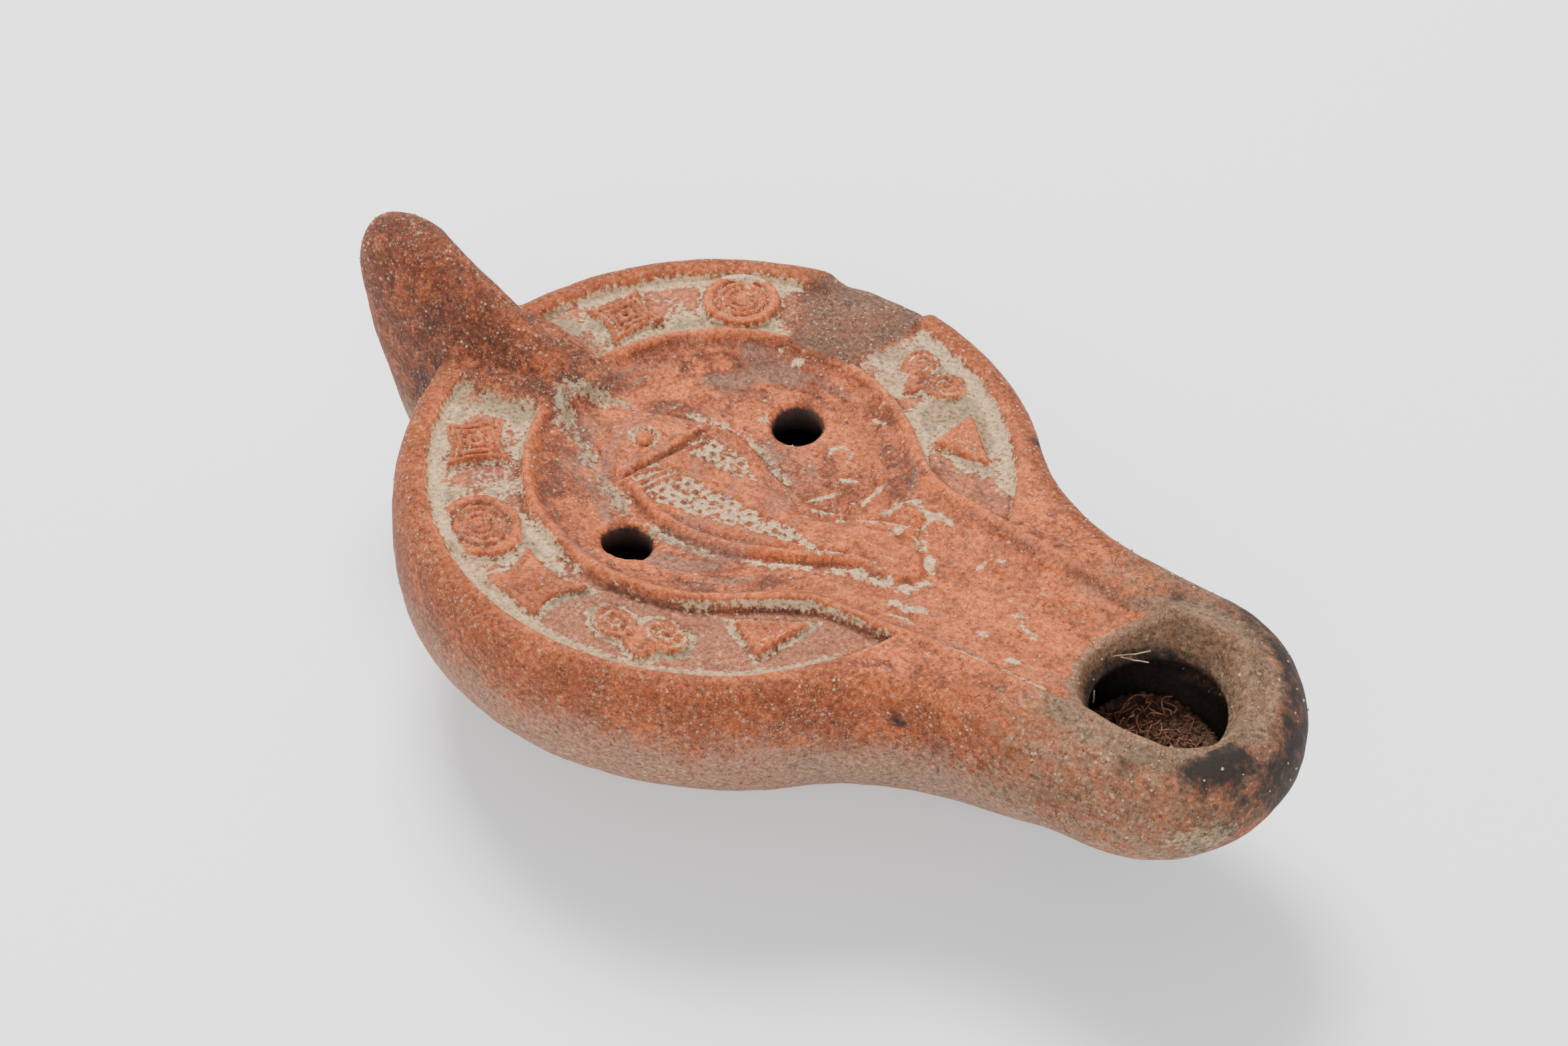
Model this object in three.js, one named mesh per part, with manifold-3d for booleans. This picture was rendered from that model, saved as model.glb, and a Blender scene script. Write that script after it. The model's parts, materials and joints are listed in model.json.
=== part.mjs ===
// Mould-made ceramic oil lamp of a late Roman North African type, fired in one piece.
// Millimetres, +Z up, +X from the reservoir towards the wick hole. The origin is the centre of the flat base.
import * as THREE from "three";
import { mergeVertices } from "three/addons/utils/BufferGeometryUtils.js";
import Module from "manifold-3d";

const wasm = await Module();
wasm.setup();

// Driving dimensions of the body. Heights are above the base, and depths are below the crest of the shoulder.
const CREST_Z = 33.5; // crest of the ridge round the shoulder
const BODY_R = 43.2; // reservoir at its widest
const EQUATOR_DEPTH = 9; // widest level, below the crest
const NOZZLE_EQUATOR_DEPTH = 8.2;
const NOZZLE_BOTTOM_INSET = 0.57; // how far the flat underside of the nozzle lies in, as a share of its half width
const BELLY_POWER = 1.2; // fullness of the lower wall
const SHOULDER_POWER = 2 / 3; // squareness of the shoulder
const DEEPEST_SHARE = 0.9; // no ring closes further than this towards the axis
const NOZZLE_HALF_WIDTH = 19.75;
const NOZZLE_TIP_X = 85.8;
const NOZZLE_RISE = 1.5; // how much higher the rim of the wick hole is than the shoulder
const NOZZLE_BELLY_DEPTH = 10.8; // underside of the nozzle, below its widest level
const FLANK_R = 30; // concave sweep from the reservoir into the nozzle
const SHOULDER_INSET = 4.3; // crest of the ridge, in from the widest outline
const LOWER_R = 17; // radius to which the lower wall closes
const FOOT_R = 20;
const FOOT_HEIGHT = 3;
const FOOT_STEP = 0.8; // how far the foot stands proud of the lower wall
const WALL = 4;

// Top of the lamp.
const DISCUS_R = 23.4; // foot of the slope round the sunken discus
const DISCUS_DEPTH = 3.8; // at its centre
const DISCUS_EDGE_DEPTH = 2.2;
const INNER_RIDGE_R = 25.2;
const BAND_INNER_R = 26.8;
const BAND_OUTER_R = 38.1;
const BAND_DEPTH = 1.6;
const BAND_END_HALF_WIDTH = 14.4; // the stamped band stops this far from the axis of the nozzle
const CHANNEL_HALF_WIDTH = 11.2;
const CHANNEL_DEPTH = 1.7;
const CHANNEL_START_X = 15;
const CHANNEL_BLEND = 15; // length over which the discus runs up into the channel
const CHANNEL_BANK = 0.9; // half the width of the slope of each side
const CHANNEL_SECTIONS = 6;
const WICK_X = 67.3;
const WICK_R = 8.4;
const WICK_LIP_R = 10.2;
const WICK_LIP_DEPTH = 3.2;
const FILLING_HOLES = [
  { x: 1.9, y: 14.4, r: 3.4 },
  { x: -2.1, y: -17.4, r: 3.3 },
];

// Relief.
const STAMP_HEIGHT = 1.2;
const STAMP_GROOVE = 0.5;
const FISH_HEIGHT = 1.3;
const EMBED = 0.8; // how deep a relief is set into the clay that carries it
const ABOVE = CREST_Z + 12; // top of every cutting tool

// Handle. Its front and back lines lie in the plane of symmetry, as [x, height above the crest].
const HANDLE_FRONT = [[-25, -5], [-27, 1], [-34, 6], [-44, 10.8], [-51.9, 15]];
const HANDLE_BACK = [[-34, -27], [-52, -23.5], [-57.2, -14.4], [-59.9, -3], [-62.1, 10.2]];
const HANDLE_HALF_THICKNESS = { root: 7.6, tip: 4.6 };
const HANDLE_FLARE = { reach: 0.4, extra: 3 }; // the root widens into the wall over this share of the length
const HANDLE_CAP = 0.16; // share of the length that rounds off the tip
const HANDLE_FACETS = { rows: 12, around: 20 };

// Damage. Angles are about the reservoir, in degrees from the nozzle.
const CHIP = { angle: 94.5, length: 14.5, from: 38.6, below: 1.7, lean: 30 };

// Counts of facets.
const OUTSIDE = { body: 26, flank: 5, side: 1, tip: 10, wallRings: 7, shoulderRings: 4 };
const INSIDE = { body: 14, flank: 3, side: 1, tip: 6, wallRings: 5, shoulderRings: 2 };
const ROUND_FACETS = 56;
const WICK_FACETS = 30;
const TIGHT_FACETS = 20;
const CURVE_STEPS = 4;

const lerp = (a, b, t) => a + (b - a) * t;
const clamp01 = (t) => Math.min(1, Math.max(0, t));
const smooth = (t) => t * t * (3 - 2 * t);
const degrees = (a) => (a * Math.PI) / 180;

// A closed three.js geometry as a solid.
function solid(geometry) {
  const bare = geometry.index ? geometry.toNonIndexed() : geometry.clone();
  bare.deleteAttribute("normal");
  bare.deleteAttribute("uv");
  const merged = mergeVertices(bare, 1e-4);
  return new wasm.Manifold(
    new wasm.Mesh({
      numProp: 3,
      vertProperties: new Float32Array(merged.attributes.position.array),
      triVerts: new Uint32Array(merged.index.array),
    }),
  );
}

// A solid as a three.js geometry.
function geometryOf(made) {
  const mesh = made.getMesh();
  const geometry = new THREE.BufferGeometry();
  geometry.setAttribute("position", new THREE.BufferAttribute(mesh.vertProperties.slice(), 3));
  geometry.setIndex(new THREE.BufferAttribute(mesh.triVerts.slice(), 1));
  geometry.computeVertexNormals();
  return geometry;
}

// A solid of revolution about +Z. Its open profile of [radius, height] points starts and ends on the axis.
function turned(profile, facets = ROUND_FACETS) {
  const points = profile.map(([r, z]) => new THREE.Vector2(r, z));
  return solid(new THREE.LatheGeometry(points, facets).rotateX(Math.PI / 2));
}

// A prism on a flat outline, from height z0 to z1.
function prism(shape, z0, z1) {
  const options = { depth: z1 - z0, curveSegments: CURVE_STEPS, bevelEnabled: false };
  return solid(new THREE.ExtrudeGeometry(shape, options).translate(0, 0, z0));
}

function shapeOf(points) {
  return new THREE.Shape(points.map(([x, y]) => new THREE.Vector2(x, y)));
}

// Plan outline at the widest level: half of it from the back of the reservoir round to the tip of the nozzle.
function halfOutline(facets) {
  const tipX = NOZZLE_TIP_X - NOZZLE_HALF_WIDTH;
  const flankY = NOZZLE_HALF_WIDTH + FLANK_R;
  const flankX = Math.sqrt((BODY_R + FLANK_R) ** 2 - flankY ** 2);
  const meet = Math.atan2(flankY, flankX);
  const arc = (cx, cy, r, from, to, steps, first) =>
    Array.from({ length: steps + 1 - first }, (_, i) => {
      const a = lerp(from, to, (i + first) / steps);
      return [cx + r * Math.cos(a), cy + r * Math.sin(a)];
    });
  const side = Array.from({ length: facets.side }, (_, i) => [
    lerp(flankX, tipX, (i + 1) / facets.side),
    NOZZLE_HALF_WIDTH,
  ]);
  return [
    ...arc(0, 0, BODY_R, Math.PI, meet, facets.body, 0),
    ...arc(flankX, flankY, FLANK_R, meet + Math.PI, 1.5 * Math.PI, facets.flank, 1),
    ...side,
    ...arc(tipX, 0, NOZZLE_HALF_WIDTH, Math.PI / 2, 0, facets.tip, 1),
  ];
}

// Height of the crest of the shoulder at x: level round the reservoir, then rising to the wick hole.
function crestHeight(x) {
  return CREST_Z + NOZZLE_RISE * clamp01((x - 24) / (WICK_X - 24));
}

// Each outline point with the point on the axis that its wall closes towards, and its share of nozzle.
function stations(facets) {
  const tipX = NOZZLE_TIP_X - NOZZLE_HALF_WIDTH;
  const half = halfOutline(facets);
  const ring = [...half, ...half.slice(1, -1).reverse().map(([x, y]) => [x, -y])];
  return ring.map(([x, y]) => {
    const t = clamp01((x - 12) / (tipX - 12));
    const sx = tipX * t ** 1.15;
    return { x, y, sx, reach: Math.hypot(x - sx, y), nozzle: smooth(t ** 2.8) };
  });
}

// One ring of the wall, moved in from the outline by inset(station) and set at height(station).
function wallRing(points, inset, height) {
  return points.map((s) => {
    const k = 1 - inset(s) / s.reach;
    return [s.sx + (s.x - s.sx) * k, s.y * k, height(s)];
  });
}

// A closed solid through rings of equal count, bottom ring first. Its two ends are bridged from side to side.
function loftRings(rings) {
  const n = rings[0].length;
  const positions = [];
  const corner = (p) => positions.push(p[0], p[1], p[2]);
  const face = (a, b, c) => [a, b, c].forEach(corner);
  for (let j = 0; j + 1 < rings.length; j++) {
    for (let i = 0; i < n; i++) {
      const k = (i + 1) % n;
      const [a, b, c, d] = [rings[j][i], rings[j][k], rings[j + 1][k], rings[j + 1][i]];
      face(a, c, b);
      face(a, d, c);
    }
  }
  const bridge = (ring, up) => {
    for (let i = 0; i < n / 2; i++) {
      const [a, b, c, d] = [ring[i], ring[i + 1], ring[(n - i - 1) % n], ring[(n - i) % n]];
      if (i + 1 < n / 2) up ? face(a, c, b) : face(a, b, c);
      if (i > 0) up ? face(a, d, c) : face(a, c, d);
    }
  };
  bridge(rings[0], false);
  bridge(rings[rings.length - 1], true);
  const geometry = new THREE.BufferGeometry();
  geometry.setAttribute("position", new THREE.Float32BufferAttribute(positions, 3));
  return solid(geometry);
}

// The form of the body, moved in by skin, from its underside at floorZ to a top at ceiling(station).
function bodyForm(skin, floorZ, ceiling, facets) {
  const points = stations(facets);
  const equator = (s) => crestHeight(s.x) - lerp(EQUATOR_DEPTH, NOZZLE_EQUATOR_DEPTH, s.nozzle);
  const bottomInset = (s) => lerp(BODY_R - LOWER_R, s.reach * NOZZLE_BOTTOM_INSET, s.nozzle);
  const bottomZ = (s) => lerp(floorZ, equator(s) - NOZZLE_BELLY_DEPTH + skin, s.nozzle);
  const rings = [];
  for (let j = facets.wallRings; j >= 0; j--) {
    const a = (j / facets.wallRings) * (Math.PI / 2);
    const share = 1 - Math.cos(a) ** BELLY_POWER;
    const inward = (s) => Math.min(skin + (bottomInset(s) - skin / 2) * share, s.reach * DEEPEST_SHARE);
    rings.push(wallRing(points, inward, (s) => lerp(equator(s), bottomZ(s), Math.sin(a))));
  }
  for (let j = 1; j <= facets.shoulderRings; j++) {
    const a = (j / facets.shoulderRings) * (Math.PI / 2);
    const inward = () => skin + SHOULDER_INSET * (1 - Math.cos(a) ** SHOULDER_POWER);
    rings.push(wallRing(points, inward, (s) => lerp(equator(s), ceiling(s), Math.sin(a) ** SHOULDER_POWER)));
  }
  return loftRings(rings);
}

// Outside of the vessel, on its low disc foot.
function outerForm() {
  const wall = bodyForm(0, FOOT_STEP, (s) => crestHeight(s.x), OUTSIDE);
  const foot = turned([[0, 0], [FOOT_R - 0.6, 0], [FOOT_R, 0.6], [FOOT_R, FOOT_HEIGHT], [0, FOOT_HEIGHT]]);
  return wall.add(foot);
}

// Hollow of the oil chamber and of the nozzle, one space.
function chamber() {
  const roof = (s) => crestHeight(s.x) - lerp(DISCUS_DEPTH + WALL - 0.4, CHANNEL_DEPTH + WALL, s.nozzle);
  return bodyForm(WALL, WALL + FOOT_STEP, roof, INSIDE);
}

// Sunken discus and the stamped band round it, with the two ridges left between and outside.
function sunkenTop() {
  const clear = CREST_Z;
  const top = ABOVE;
  const bowl = turned([
    [0, CREST_Z - DISCUS_DEPTH],
    [8, CREST_Z - DISCUS_DEPTH + 0.3],
    [16, CREST_Z - DISCUS_DEPTH + 1],
    [DISCUS_R, CREST_Z - DISCUS_EDGE_DEPTH],
    [INNER_RIDGE_R - 0.4, clear],
    [INNER_RIDGE_R - 0.4, top],
    [0, top],
  ]);
  const ring = turned([
    [0, CREST_Z - BAND_DEPTH],
    [BAND_OUTER_R, CREST_Z - BAND_DEPTH],
    [BAND_OUTER_R + 0.9, clear],
    [BAND_OUTER_R + 0.9, top],
    [0, top],
  ]);
  const core = turned([
    [0, 0],
    [BAND_INNER_R, 0],
    [BAND_INNER_R, CREST_Z - BAND_DEPTH],
    [INNER_RIDGE_R + 0.4, clear],
    [INNER_RIDGE_R + 0.4, top],
    [0, top],
  ]);
  const gapSide = BAND_END_HALF_WIDTH;
  const gap = prism(shapeOf([[0, -gapSide], [BODY_R, -gapSide], [BODY_R, gapSide], [0, gapSide]]), 0, top);
  return bowl.add(ring.subtract(core).subtract(gap));
}

// Channel from the discus to the wick hole: a trough whose sides slope, following the rise of the nozzle.
function channel() {
  const startDepth = DISCUS_EDGE_DEPTH + 0.6;
  const depth = (x) => lerp(startDepth, CHANNEL_DEPTH, clamp01((x - CHANNEL_START_X) / CHANNEL_BLEND));
  const sections = Array.from({ length: CHANNEL_SECTIONS + 1 }, (_, i) => {
    const x = lerp(CHANNEL_START_X, WICK_X, i / CHANNEL_SECTIONS);
    const low = CHANNEL_HALF_WIDTH - CHANNEL_BANK;
    const high = CHANNEL_HALF_WIDTH + CHANNEL_BANK;
    const floor = crestHeight(x) - depth(x);
    const bank = crestHeight(x) + 0.1;
    return [[x, -low, floor], [x, low, floor], [x, high, bank], [x, high, ABOVE], [x, -high, ABOVE], [x, -high, bank]];
  });
  return loftSections(sections);
}

// A closed solid through flat sections of equal count whose outlines are convex.
function loftSections(sections) {
  const n = sections[0].length;
  const positions = [];
  const face = (...corners) => corners.forEach((p) => positions.push(...p));
  for (let j = 0; j + 1 < sections.length; j++) {
    for (let i = 0; i < n; i++) {
      const k = (i + 1) % n;
      const [a, b, c, d] = [sections[j][i], sections[j][k], sections[j + 1][k], sections[j + 1][i]];
      face(a, b, c);
      face(a, c, d);
    }
  }
  const [first, last] = [sections[0], sections[sections.length - 1]];
  for (let i = 1; i + 1 < n; i++) {
    face(first[0], first[i + 1], first[i]);
    face(last[0], last[i], last[i + 1]);
  }
  const geometry = new THREE.BufferGeometry();
  geometry.setAttribute("position", new THREE.Float32BufferAttribute(positions, 3));
  return solid(geometry);
}

// Wick hole with its bevelled lip, and the two filling holes.
function holes() {
  const rim = crestHeight(WICK_X);
  const low = CREST_Z - DISCUS_DEPTH - WALL - 2;
  const wick = turned([
    [0, rim - 11],
    [WICK_R, rim - 11],
    [WICK_R, rim - WICK_LIP_DEPTH],
    [WICK_LIP_R, rim + 0.1],
    [WICK_LIP_R, rim + 8],
    [0, rim + 8],
  ], WICK_FACETS).translate([WICK_X, 0, 0]);
  return FILLING_HOLES.reduce(
    (all, hole) =>
      all.add(turned([[0, low], [hole.r, low], [hole.r, CREST_Z + 8], [0, CREST_Z + 8]], TIGHT_FACETS)
        .translate([hole.x, hole.y, 0])),
    wick,
  );
}

// Square whose four sides curve in. Local +Y points away from the centre of the lamp.
function hollowSidedSquare(half, dip) {
  const shape = new THREE.Shape();
  shape.moveTo(-half, -half);
  shape.quadraticCurveTo(0, -half + dip, half, -half);
  shape.quadraticCurveTo(half - dip, 0, half, half);
  shape.quadraticCurveTo(0, half - dip, -half, half);
  shape.quadraticCurveTo(-half + dip, 0, -half, -half);
  return shape;
}

// Stamps stand on the floor of the band, built about their own centre with that floor at z = 0.
function squareStamp() {
  const groove = (outer, inner) =>
    prism(hollowSidedSquare(outer, 1.2), STAMP_HEIGHT - STAMP_GROOVE, STAMP_HEIGHT + 1)
      .subtract(prism(hollowSidedSquare(inner, 0.9), 0, STAMP_HEIGHT + 2));
  return prism(hollowSidedSquare(4.4, 1.9), -EMBED, STAMP_HEIGHT)
    .subtract(groove(3.3, 2.6))
    .subtract(prism(hollowSidedSquare(1.5, 0.5), STAMP_HEIGHT - STAMP_GROOVE, STAMP_HEIGHT + 1));
}

function ringedDiscStamp() {
  const ridges = [5.6, 4.6, 3.4, 2.2, 1.1];
  const valley = STAMP_HEIGHT - STAMP_GROOVE;
  const profile = [[0, -EMBED], [ridges[0], -EMBED], [ridges[0], valley * 0.6]];
  ridges.forEach((r, i) => {
    profile.push([r - 0.25, STAMP_HEIGHT]);
    if (i + 1 < ridges.length) profile.push([(r + ridges[i + 1]) / 2, valley]);
  });
  profile.push([0, valley]);
  return turned(profile, TIGHT_FACETS);
}

// Flat ribbon along a spiral, as the outline of a raised line.
function spiralRibbon(outerR, innerR, turns, width, hand) {
  const steps = 11;
  const at = (i, offset) => {
    const t = i / steps;
    const r = lerp(outerR, innerR, t) + offset;
    const a = degrees(-90) + hand * t * turns * 2 * Math.PI;
    return [r * Math.cos(a), r * Math.sin(a)];
  };
  const out = Array.from({ length: steps + 1 }, (_, i) => at(i, width / 2));
  const back = Array.from({ length: steps + 1 }, (_, i) => at(steps - i, -width / 2));
  return shapeOf([...out, ...back]);
}

function voluteHeartStamp() {
  const lobe = 3;
  const plate = new THREE.Shape();
  plate.moveTo(0, -4.2);
  plate.quadraticCurveTo(2.6, -3.6, lobe + 2.9, -0.2);
  plate.absarc(lobe, 0.6, 2.9, degrees(-10), degrees(150), false);
  plate.lineTo(0, 1.6);
  plate.absarc(-lobe, 0.6, 2.9, degrees(30), degrees(190), false);
  plate.quadraticCurveTo(-2.6, -3.6, 0, -4.2);
  const base = prism(plate, -EMBED, STAMP_HEIGHT - STAMP_GROOVE);
  return [1, -1].reduce(
    (all, hand) => all.add(
      prism(spiralRibbon(2.3, 0.8, 1.4, 0.75, hand), 0, STAMP_HEIGHT).translate([hand * lobe, 0.6, 0])),
    base,
  );
}

function leafStamp() {
  const plate = prism(shapeOf([[0, -4.8], [5.4, 2.5], [-5.4, 2.5]]), -EMBED, STAMP_HEIGHT - STAMP_GROOVE);
  const rib = (y) => {
    const outer = [[0, y], [3, y + 3.2]];
    const inner = [[2.1, y + 3.4], [0, y + 1.1], [-2.1, y + 3.4]];
    return prism(shapeOf([...outer, ...inner, [-3, y + 3.2]]), 0, STAMP_HEIGHT);
  };
  return [-3.4, -1.7].reduce((all, y) => all.add(rib(y)), plate);
}

// The same stamps run down both halves of the band, from the handle to the nozzle. The one at 100 degrees on the far
// side is lost with the chipped stretch of the shoulder. A turn is about the middle of the stamp, and without one its
// lower edge faces the discus.
const STAMPS = [
  { make: squareStamp, angle: 151, radius: 32.1, turn: 10 },
  { make: ringedDiscStamp, angle: 122.3, radius: 32.5, turn: 0 },
  { make: voluteHeartStamp, angle: 68.6, radius: 32.7, turn: 0 },
  { make: leafStamp, angle: 45, radius: 32.2, turn: 0 },
  { make: squareStamp, angle: -149.8, radius: 32.2, turn: 15.5 },
  { make: ringedDiscStamp, angle: -121.9, radius: 32.5, turn: 0 },
  { make: squareStamp, angle: -100.1, radius: 32.4, turn: 3, stretch: 1.2 },
  { make: voluteHeartStamp, angle: -71.7, radius: 32.4, turn: 180 },
  { make: leafStamp, angle: -41.3, radius: 32.2, turn: 180 },
];

function stamps() {
  return wasm.Manifold.union(
    STAMPS.map(({ make, angle, radius, turn, stretch = 1 }) =>
      make()
        .scale([stretch, 1, 1])
        .rotate([0, 0, turn + angle - 90])
        .translate([radius * Math.cos(degrees(angle)), radius * Math.sin(degrees(angle)), CREST_Z - BAND_DEPTH])),
  );
}

// Fish swimming towards the handle, in low relief on the discus, its back to the far filling hole.
const FISH_SNOUT = [-22.5, -2.2];
const FISH_BACK = [[-19.5, 0.2], [-13.3, 4.6], [-5.2, 7.7], [-0.2, 6.9], [4.9, 4.6], [9, 3.3], [14, 2.3]];
const FISH_TAIL = [[18.5, 3.6], [23.8, 9.2], [26.8, 8.2], [27.8, 4.8], [32.2, -1.2], [29.8, -3.4], [22, -5.5]];
const FISH_BELLY = [[19, -7], [14.5, -9], [10, -11], [4, -12.4], [-2, -12], [-8.6, -9.5], [-15.6, -6.2], [-20, -4.4]];
const FISH_GILL = [[-8.2, 6.4], [-7.2, 6.4], [-7.5, 0.1], [-9.8, -7.7], [-10.8, -7.7], [-8.5, 0.1]];
const FISH_GILL_DEPTH = 0.6;
const FISH_EYE = { x: -11.9, y: -1.2, r: 1.7, knob: 1 };
const FISH_LEVEL = CREST_Z - DISCUS_DEPTH + 0.4;
const FISH_TAIL_LIFT = { from: 10, length: 18, height: 1.6 }; // the tail climbs out of the discus into the channel
const SCALE_ROWS = [
  { y: 3.4, from: -6, to: 1.5 },
  { y: 1.6, from: -6.4, to: 3 },
  { y: -4, from: -7.4, to: 15 },
  { y: -5.8, from: -7.4, to: 11 },
  { y: -7.6, from: -7, to: 4 },
];
const SCALE_PITCH = 2.3;
const SCALE_SINK = 0.04; // how far each row drops for each millimetre towards the tail

function fish() {
  const flat = (points) => points.map(([x, y]) => new THREE.Vector2(x, y));
  const body = new THREE.Shape();
  body.moveTo(...FISH_SNOUT);
  body.splineThru(flat(FISH_BACK));
  FISH_TAIL.forEach(([x, y]) => body.lineTo(x, y));
  body.splineThru(flat([...FISH_BELLY, FISH_SNOUT]));
  const top = FISH_LEVEL + FISH_HEIGHT;
  const eye = turned([
    [0, top - 0.5],
    [FISH_EYE.r, top - 0.5],
    [FISH_EYE.r, top + 0.3],
    [FISH_EYE.knob, top + 0.6],
    [0, top + 0.6],
  ], TIGHT_FACETS / 2).translate([FISH_EYE.x, FISH_EYE.y, 0]);
  const scale = (x, y) =>
    prism(shapeOf([[x - 0.8, y - 0.35], [x + 0.8, y - 0.55], [x + 0.8, y + 0.55], [x - 0.8, y + 0.35]]),
      top - 0.3, top + 0.45);
  const scales = SCALE_ROWS.flatMap(({ y, from, to }) =>
    Array.from({ length: Math.floor((to - from) / SCALE_PITCH) + 1 }, (_, i) => {
      const along = i * SCALE_PITCH;
      return scale(from + along, y - SCALE_SINK * along);
    }));
  const plate = prism(body, FISH_LEVEL - EMBED - FISH_GILL_DEPTH, top)
    .subtract(prism(shapeOf(FISH_GILL), top - FISH_GILL_DEPTH, top + 1));
  const { from, length, height } = FISH_TAIL_LIFT;
  return wasm.Manifold.union([plate, eye, ...scales]).warp((v) => {
    v[2] += height * smooth(clamp01((v[0] - from) / length));
  });
}

// Raking fin handle: sections between its front and back lines.
function handle() {
  const line = (points) => new THREE.CatmullRomCurve3(points.map(([x, z]) => new THREE.Vector3(x, 0, CREST_Z + z)));
  const [front, back] = [line(HANDLE_FRONT), line(HANDLE_BACK)];
  const { rows, around } = HANDLE_FACETS;
  const sections = Array.from({ length: rows + 1 }, (_, j) => {
    const v = 1 - (1 - j / rows) ** 1.5;
    const past = Math.max(0, (v - 1 + HANDLE_CAP) / HANDLE_CAP);
    const round = Math.sqrt(Math.max(0.03, 1 - past ** 2));
    const [f, b] = [front.getPoint(v), back.getPoint(v)];
    const half = f.clone().sub(b).multiplyScalar(0.5 * round);
    const centre = f.clone().add(b).multiplyScalar(0.5);
    const flare = HANDLE_FLARE.extra * Math.max(0, 1 - v / HANDLE_FLARE.reach) ** 2;
    const thick = (lerp(HANDLE_HALF_THICKNESS.root, HANDLE_HALF_THICKNESS.tip, v ** 0.7) + flare) * round;
    return Array.from({ length: around }, (_, i) => {
      const a = (i / around) * 2 * Math.PI;
      return [centre.x + half.x * Math.cos(a), thick * Math.sin(a), centre.z + half.z * Math.cos(a)];
    });
  });
  return loftSections(sections);
}

// Chip out of the far shoulder, where the ridge and one stamp are gone: a block that leans outwards and down.
function chip() {
  const { length, angle, from, below, lean } = CHIP;
  const block = new THREE.BoxGeometry(length, 9, 8).translate(0, 4.5, 4).rotateX(degrees(-lean));
  return solid(block)
    .rotate([0, 0, angle - 90])
    .translate([from * Math.cos(degrees(angle)), from * Math.sin(degrees(angle)), CREST_Z - below]);
}

function oilLamp() {
  const walls = outerForm().subtract(chamber());
  const topped = walls.subtract(sunkenTop()).subtract(channel());
  const inside = chamber();
  const dressed = topped.add(stamps()).add(fish()).add(handle().subtract(inside));
  return dressed.subtract(holes()).subtract(chip());
}

const clay = new THREE.MeshStandardMaterial({ color: 0xb4664a, roughness: 0.88, metalness: 0 });
const lamp = new THREE.Mesh(geometryOf(oilLamp()), clay);
lamp.name = "oil_lamp";

const group = new THREE.Group();
group.name = "ceramic_oil_lamp";
group.add(lamp);

export default group;
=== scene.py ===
"""A worn, mould-made red earthenware oil lamp with its lime, soot and soil, in a plain studio."""

import json
import logging
import math
from collections.abc import Callable, Sequence
from dataclasses import dataclass, field
from enum import Enum

import bmesh
import bpy
import numpy as np
from mathutils import Matrix, Vector
from mathutils.geometry import delaunay_2d_cdt
from mathutils.kdtree import KDTree

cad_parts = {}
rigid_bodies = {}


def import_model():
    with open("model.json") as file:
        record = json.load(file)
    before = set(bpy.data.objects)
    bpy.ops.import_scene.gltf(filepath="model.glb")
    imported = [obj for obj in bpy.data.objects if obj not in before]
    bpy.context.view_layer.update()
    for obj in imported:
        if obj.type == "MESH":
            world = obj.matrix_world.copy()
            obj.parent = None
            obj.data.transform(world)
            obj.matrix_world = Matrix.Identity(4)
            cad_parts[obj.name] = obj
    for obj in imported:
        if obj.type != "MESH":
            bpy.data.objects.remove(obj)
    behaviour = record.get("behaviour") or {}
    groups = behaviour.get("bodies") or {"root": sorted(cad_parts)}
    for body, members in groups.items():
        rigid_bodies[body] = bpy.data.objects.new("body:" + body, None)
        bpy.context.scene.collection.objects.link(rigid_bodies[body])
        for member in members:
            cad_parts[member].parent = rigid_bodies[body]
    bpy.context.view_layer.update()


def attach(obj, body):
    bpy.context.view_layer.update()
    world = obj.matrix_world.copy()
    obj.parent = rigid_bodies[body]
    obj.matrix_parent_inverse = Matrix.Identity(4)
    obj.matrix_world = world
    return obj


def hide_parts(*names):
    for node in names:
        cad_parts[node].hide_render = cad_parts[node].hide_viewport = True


LOG = logging.getLogger("oil_lamp")
MM = 0.001
Array = np.ndarray
Color = tuple[float, float, float, float]


def smooth(t: Array) -> Array:
    """Returns a smooth step of t, held between 0 and 1."""
    t = np.clip(t, 0.0, 1.0)
    return t * t * (3.0 - 2.0 * t)


def mix(a: Array, b: Array, t: Array) -> Array:
    """Returns a blend of a and b by t."""
    return a + (b - a) * t


def bump_line(distance: Array, half_width: float) -> Array:
    """Returns 1 on a line and 0 beyond half_width from it, rounded."""
    return smooth(1.0 - np.abs(distance) / half_width)


def blot(u: Array, v: Array, centre: tuple[float, float], reach: tuple[float, float], most: float,
         noise: Array) -> Array:
    """Returns an oval mark with a ragged edge, from its centre, half widths and strength."""
    return smooth(most - np.hypot((u - centre[0]) / reach[0], (v - centre[1]) / reach[1]) + noise)


def round_min(a: Array, b: Array, reach: float) -> Array:
    """Returns the smaller of a and b, with the corner between them rounded over reach."""
    h = np.clip(0.5 + 0.5 * (b - a) / reach, 0.0, 1.0)
    return mix(b, a, h) - reach * h * (1.0 - h)


HASH_PRIMES = np.array([73856093, 19349663, 83492791])
HASH_SEED = 40503
HASH_MIX = 1274126177


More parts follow.
